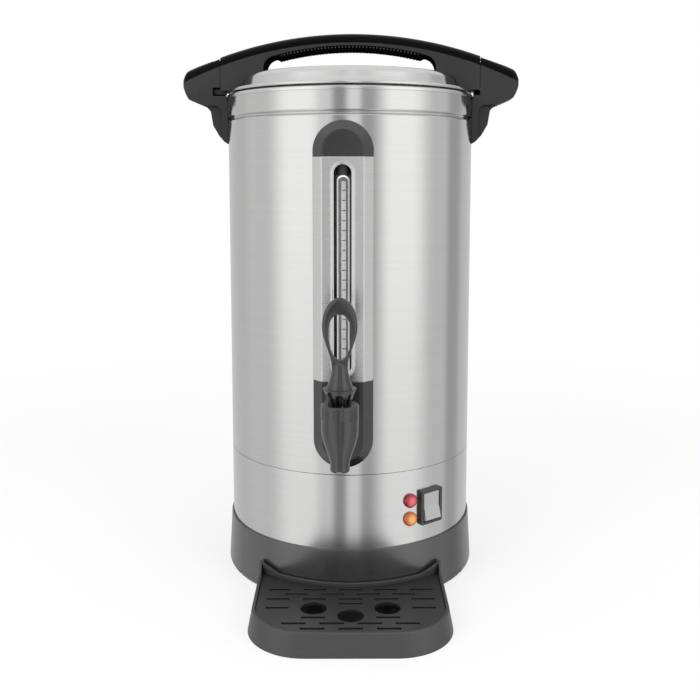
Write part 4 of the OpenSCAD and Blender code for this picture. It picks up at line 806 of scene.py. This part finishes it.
def grip_path():
    """Points round the opening under the arch as (x, z, outward x, outward z, share of full grip)."""
    centre_z = (ARCH_TOP - ARCH_T - GRIP_R) / MM
    grip_r, soft, half = GRIP_R / MM, LINER_CORNER, OPENING_HALF / MM
    pitch = RIDGE_PITCH / MM
    corner_x = half - soft
    corner_z = centre_z + math.sqrt((grip_r - soft) ** 2 - corner_x ** 2)
    corner_turn = math.atan2(corner_x, corner_z - centre_z)
    left = [(-half, z, -1.0, 0.0, 0.0) for z in (corner_z - 9, corner_z - 5, corner_z - 2)]
    for i in range(13):
        turn = -math.pi / 2 + (math.pi / 2 - corner_turn) * i / 12
        out_x, out_z = math.sin(turn), math.cos(turn)
        left.append((-corner_x + soft * out_x, corner_z + soft * out_z, out_x, out_z, 0.0))
    pad_turn = PAD_HALF / grip_r
    steps = 6 * round(2 * pad_turn * grip_r / pitch)
    top = []
    for i in range(steps + 1):
        turn = -pad_turn + 2 * pad_turn * i / steps
        full = min(1.0, min(i, steps - i) / PAD_RAMP)
        ridge = 0.82 + 0.18 * abs(math.cos(math.pi * turn * grip_r / pitch))
        out_x, out_z = math.sin(turn), math.cos(turn)
        top.append((grip_r * out_x, centre_z + grip_r * out_z, out_x, out_z, max(0.02, full) * ridge))
    right = [(-x, z, -out_x, out_z, full) for x, z, out_x, out_z, full in reversed(left)]
    return left + top + right


def make_grip():
    """Soft black liner of the opening under the arch, ridged where the fingers go."""
    rings = []
    for x, z, out_x, out_z, full in grip_path():
        section = [
            (-LINER_HALF_Y, -0.35), (-LINER_HALF_Y, 0.3), (-LINER_HALF_Y + 1.0, 0.45 + 0.6 * full),
            (-LINER_HALF_Y + 2.5, 0.5 + 1.7 * full), (-LINER_HALF_Y + 4.0, 0.5 + 3.1 * full),
        ]
        section += [(-y, depth) for y, depth in reversed(section)]
        rings.append([(x - out_x * depth, y, z - out_z * depth) for y, depth in section])
    return finished(loft("arch_grip_liner", rings), "handle_plastic", "lid", look=GRIP_BLACK)


def make_side_handle(name, node, side):
    """Side handle with its outer end rounded over on every side, as a hand meets it."""
    arch_z = (ARCH_TOP - ARCH_R) / MM
    rings = []
    levels = [0.0, 0.02, 0.06, 0.12, 0.2, 0.3, 0.42, 0.56, 0.72, 0.88, 1.0]
    for share in levels + [12.0]:
        inset = HANDLE_SOFT * (1 - math.sqrt(max(0.0, 1 - (1 - min(share, 1.0)) ** 2)))
        x = HANDLE_TIP - HANDLE_SOFT * share
        crest = arch_z + math.sqrt((ARCH_R / MM) ** 2 - x ** 2)
        lowered = min(HANDLE_TIP - x, 6.0)
        underside = RIM_Z / MM + 4.0 - lowered - 0.42 * max(0.0, HANDLE_TIP - 6.0 - x)
        foot = underside - 0.3 - 60 * max(0.0, share - 1.0)
        grow = 3.0 if share > 1.0 else 0.0
        half_y = HANDLE_HALF_Y - inset + grow
        top, bottom = crest - inset + grow, foot + inset
        middle_z, half_z = (top + bottom) / 2, (top - bottom) / 2
        corner = min(HANDLE_CORNER, half_z - 0.5, half_y - 0.5)
        ring = []
        for quarter in range(4):
            for k in range(7):
                turn = math.pi / 2 * (quarter + k / 6)
                sign_y = 1 if quarter in (0, 3) else -1
                sign_z = 1 if quarter in (0, 1) else -1
                ring.append((
                    side * x, sign_y * (half_y - corner) + corner * math.cos(turn),
                    middle_z + sign_z * (half_z - corner) + corner * math.sin(turn),
                ))
        rings.append(ring)
    envelope = loft("envelope", rings)
    handle = copied(name, node)
    carve(handle, [envelope], "INTERSECT")
    return finished(handle, "handle_plastic", "urn", [node])


GRIP_BLACK = grip_rubber("grip_black")

make_lever()
make_tap_barrel()
make_grip()
make_side_handle("side_handle_left_shell", "side_handle_left", -1)
make_side_handle("side_handle_right_shell", "side_handle_right", 1)
make_window_lip()
make_lamp_rim("lamp_rim_red", "pilot_lamp_red", "red_lens", ["lamp_bezels"])
make_lamp_rim("lamp_rim_amber", "pilot_lamp_amber", "amber_lens")


# ---------------------------------------------------------------- studio

# What glossy rays meet round the urn: (from, to, level), in degrees from the tap's side to the right
PANELS = [
    (-180, -119, 0.69),  # left rear wall
    (-100, -82, 0.80),  # left wall
    (-54, -34, 1.38),  # left soft box
    (-22, -17, 0.98),  # fading edge of the left soft box
    (-9, -4, 0.4),  # left flag
    (3, 9.5, 1.08),  # gap in front
    (15, 20, 0.5),  # right flag
    (41, 60, 1.38),  # right soft box
    (88, 100, 0.76),  # right wall
    (111, 120, 0.48),  # dark door
    (136, 180, 0.69),  # right rear wall
]
WALL_LEVEL = 0.7
CEILING_LEVEL = 0.95
FILL_LEVEL = 0.62
# Heights of a ray's direction between which the soft boxes fade and the walls give way to the ceiling
BOX_FADE = (-0.33, -0.03)
BOX_LOSS = 0.42
CEILING_FADE = (0.35, 0.8)
# Radius of the floor, and the distances between which its shadow fades out
FLOOR_R = 4.0
FLOOR_FADE = (0.3, 1.1)


def reflected_studio(tree, axis):
    """Level of the panels under a plain ceiling; the soft boxes fade below the horizon."""
    turn = calc(tree, "ARCTAN2", axis["X"], calc(tree, "MULTIPLY", axis["Y"], -1.0))
    place_on_ramp = span(tree, turn, 0.5, 0.5 + 1 / math.tau)
    ramp = add(tree, "ShaderNodeValToRGB", {0: place_on_ramp})
    ramp.color_ramp.interpolation = "EASE"
    stops = [(angle, level) for start, end, level in PANELS for angle in (start, end)]
    elements = ramp.color_ramp.elements
    elements[0].position = 0
    elements[1].position = 1
    for angle, level in stops[1:-1]:
        elements.new(0.5 + angle / 360)
    for element, (angle, level) in zip(elements, stops):
        element.color = (level / 2, level / 2, level / 2, 1)
    panels = calc(tree, "MULTIPLY", ramp.outputs["Color"], 2.0)
    boxes = calc(tree, "MAXIMUM", calc(tree, "SUBTRACT", panels, WALL_LEVEL), 0.0)
    lost = span(tree, step(tree, axis["Z"], *BOX_FADE), BOX_LOSS, 0.0)
    walls = calc(tree, "SUBTRACT", panels, calc(tree, "MULTIPLY", boxes, lost))
    overhead = step(tree, axis["Z"], *CEILING_FADE)
    room = calc(tree, "MULTIPLY", walls, span(tree, overhead, 1.0, 0.0))
    return calc(tree, "ADD", room, calc(tree, "MULTIPLY", overhead, CEILING_LEVEL))


def studio_world():
    """White to the camera, panels and flags to glossy rays, and an even light for the rest."""
    world = bpy.data.worlds.new("studio")
    bpy.context.scene.world = world
    world.use_nodes = True
    tree = world.node_tree
    tree.nodes.clear()
    direction = add(tree, "ShaderNodeTexCoord").outputs["Generated"]
    axis = add(tree, "ShaderNodeSeparateXYZ", {0: direction}).outputs
    paths = add(tree, "ShaderNodeLightPath").outputs
    white = (1, 1, 1, 1)
    seen_direct = add(tree, "ShaderNodeBackground", {"Color": white, "Strength": 1.0})
    panels = reflected_studio(tree, axis)
    reflected = add(tree, "ShaderNodeBackground", {"Color": white, "Strength": panels}).outputs[0]
    fill = add(tree, "ShaderNodeBackground", {"Color": white, "Strength": FILL_LEVEL}).outputs[0]
    lit = add(tree, "ShaderNodeMixShader", {0: paths["Is Glossy Ray"], 1: fill, 2: reflected})
    clear = calc(tree, "MAXIMUM", paths["Is Camera Ray"], paths["Is Transmission Ray"])
    final = add(tree, "ShaderNodeMixShader", {0: clear, 1: lit.outputs[0], 2: seen_direct.outputs[0]})
    add(tree, "ShaderNodeOutputWorld", {"Surface": final.outputs[0]})


def soft_box(name, location, target, size, power):
    light = bpy.data.lights.new(name, "AREA")
    light.shape = "RECTANGLE"
    light.size, light.size_y = size
    light.energy = power
    box = placed(name, light)
    box.location = location
    box.visible_glossy = False
    box.rotation_euler = (Vector(target) - Vector(location)).to_track_quat("-Z", "Y").to_euler()


def soft_lights():
    centre = (0, 0, 0.25)
    soft_box("key_left", (-1.1, -1.3, 1.2), centre, (0.9, 1.4), 14)
    soft_box("key_right", (1.25, -1.2, 1.0), centre, (0.8, 1.3), 11)
    soft_box("top_fill", (0.0, -0.2, 1.9), centre, (1.4, 1.4), 12)


def pale_floor():
    """Round floor that keeps part of the shadow near the urn and fades to plain white further out."""
    mesh = bpy.data.meshes.new("floor")
    shape = bmesh.new()
    bmesh.ops.create_circle(shape, cap_ends=True, segments=96, radius=FLOOR_R)
    shape.to_mesh(mesh)
    shape.free()
    floor = placed("floor", mesh)
    floor.location.z = -0.1 * MM
    material = bpy.data.materials.new("floor_white")
    material.use_nodes = True
    tree = material.node_tree
    tree.nodes.clear()
    paths = add(tree, "ShaderNodeLightPath").outputs
    shown = calc(tree, "MAXIMUM", paths["Is Camera Ray"],
                 calc(tree, "MAXIMUM", paths["Is Glossy Ray"], paths["Is Transmission Ray"]))
    lit = add(tree, "ShaderNodeBsdfDiffuse", {"Color": (0.86, 0.86, 0.86, 1)})
    white = add(tree, "ShaderNodeEmission", {"Color": (1, 1, 1, 1), "Strength": 1.0})
    coords = add(tree, "ShaderNodeTexCoord").outputs["Object"]
    away = add(tree, "ShaderNodeVectorMath", {0: coords}, operation="LENGTH").outputs["Value"]
    share = calc(tree, "MULTIPLY", shown, span(tree, step(tree, away, *FLOOR_FADE), 0.7, 1.0))
    mixed = add(tree, "ShaderNodeMixShader", {0: share, 1: lit.outputs[0], 2: white.outputs[0]})
    add(tree, "ShaderNodeOutputMaterial", {"Surface": mixed.outputs[0]})
    floor.data.materials.append(material)
    floor.visible_glossy = False


def portrait_camera():
    """The photograph's view: a little right of the tap, from above the urn's middle."""
    distance = 834.5 * MM
    eye_height = 355 * MM
    turn = math.radians(2.64)
    pitch = math.radians(6.46)
    data = bpy.data.cameras.new("portrait")
    data.lens = 46.42
    data.sensor_width = 36
    data.shift_y = -0.1
    data.clip_start = 0.05
    camera = placed("portrait", data)
    camera.location = (distance * math.sin(turn), -distance * math.cos(turn), eye_height)
    camera.rotation_euler = (math.pi / 2 - pitch, 0, turn)
    bpy.context.scene.camera = camera


portrait_camera()
studio_world()
soft_lights()
pale_floor()
bpy.context.scene.view_settings.view_transform = "Standard"
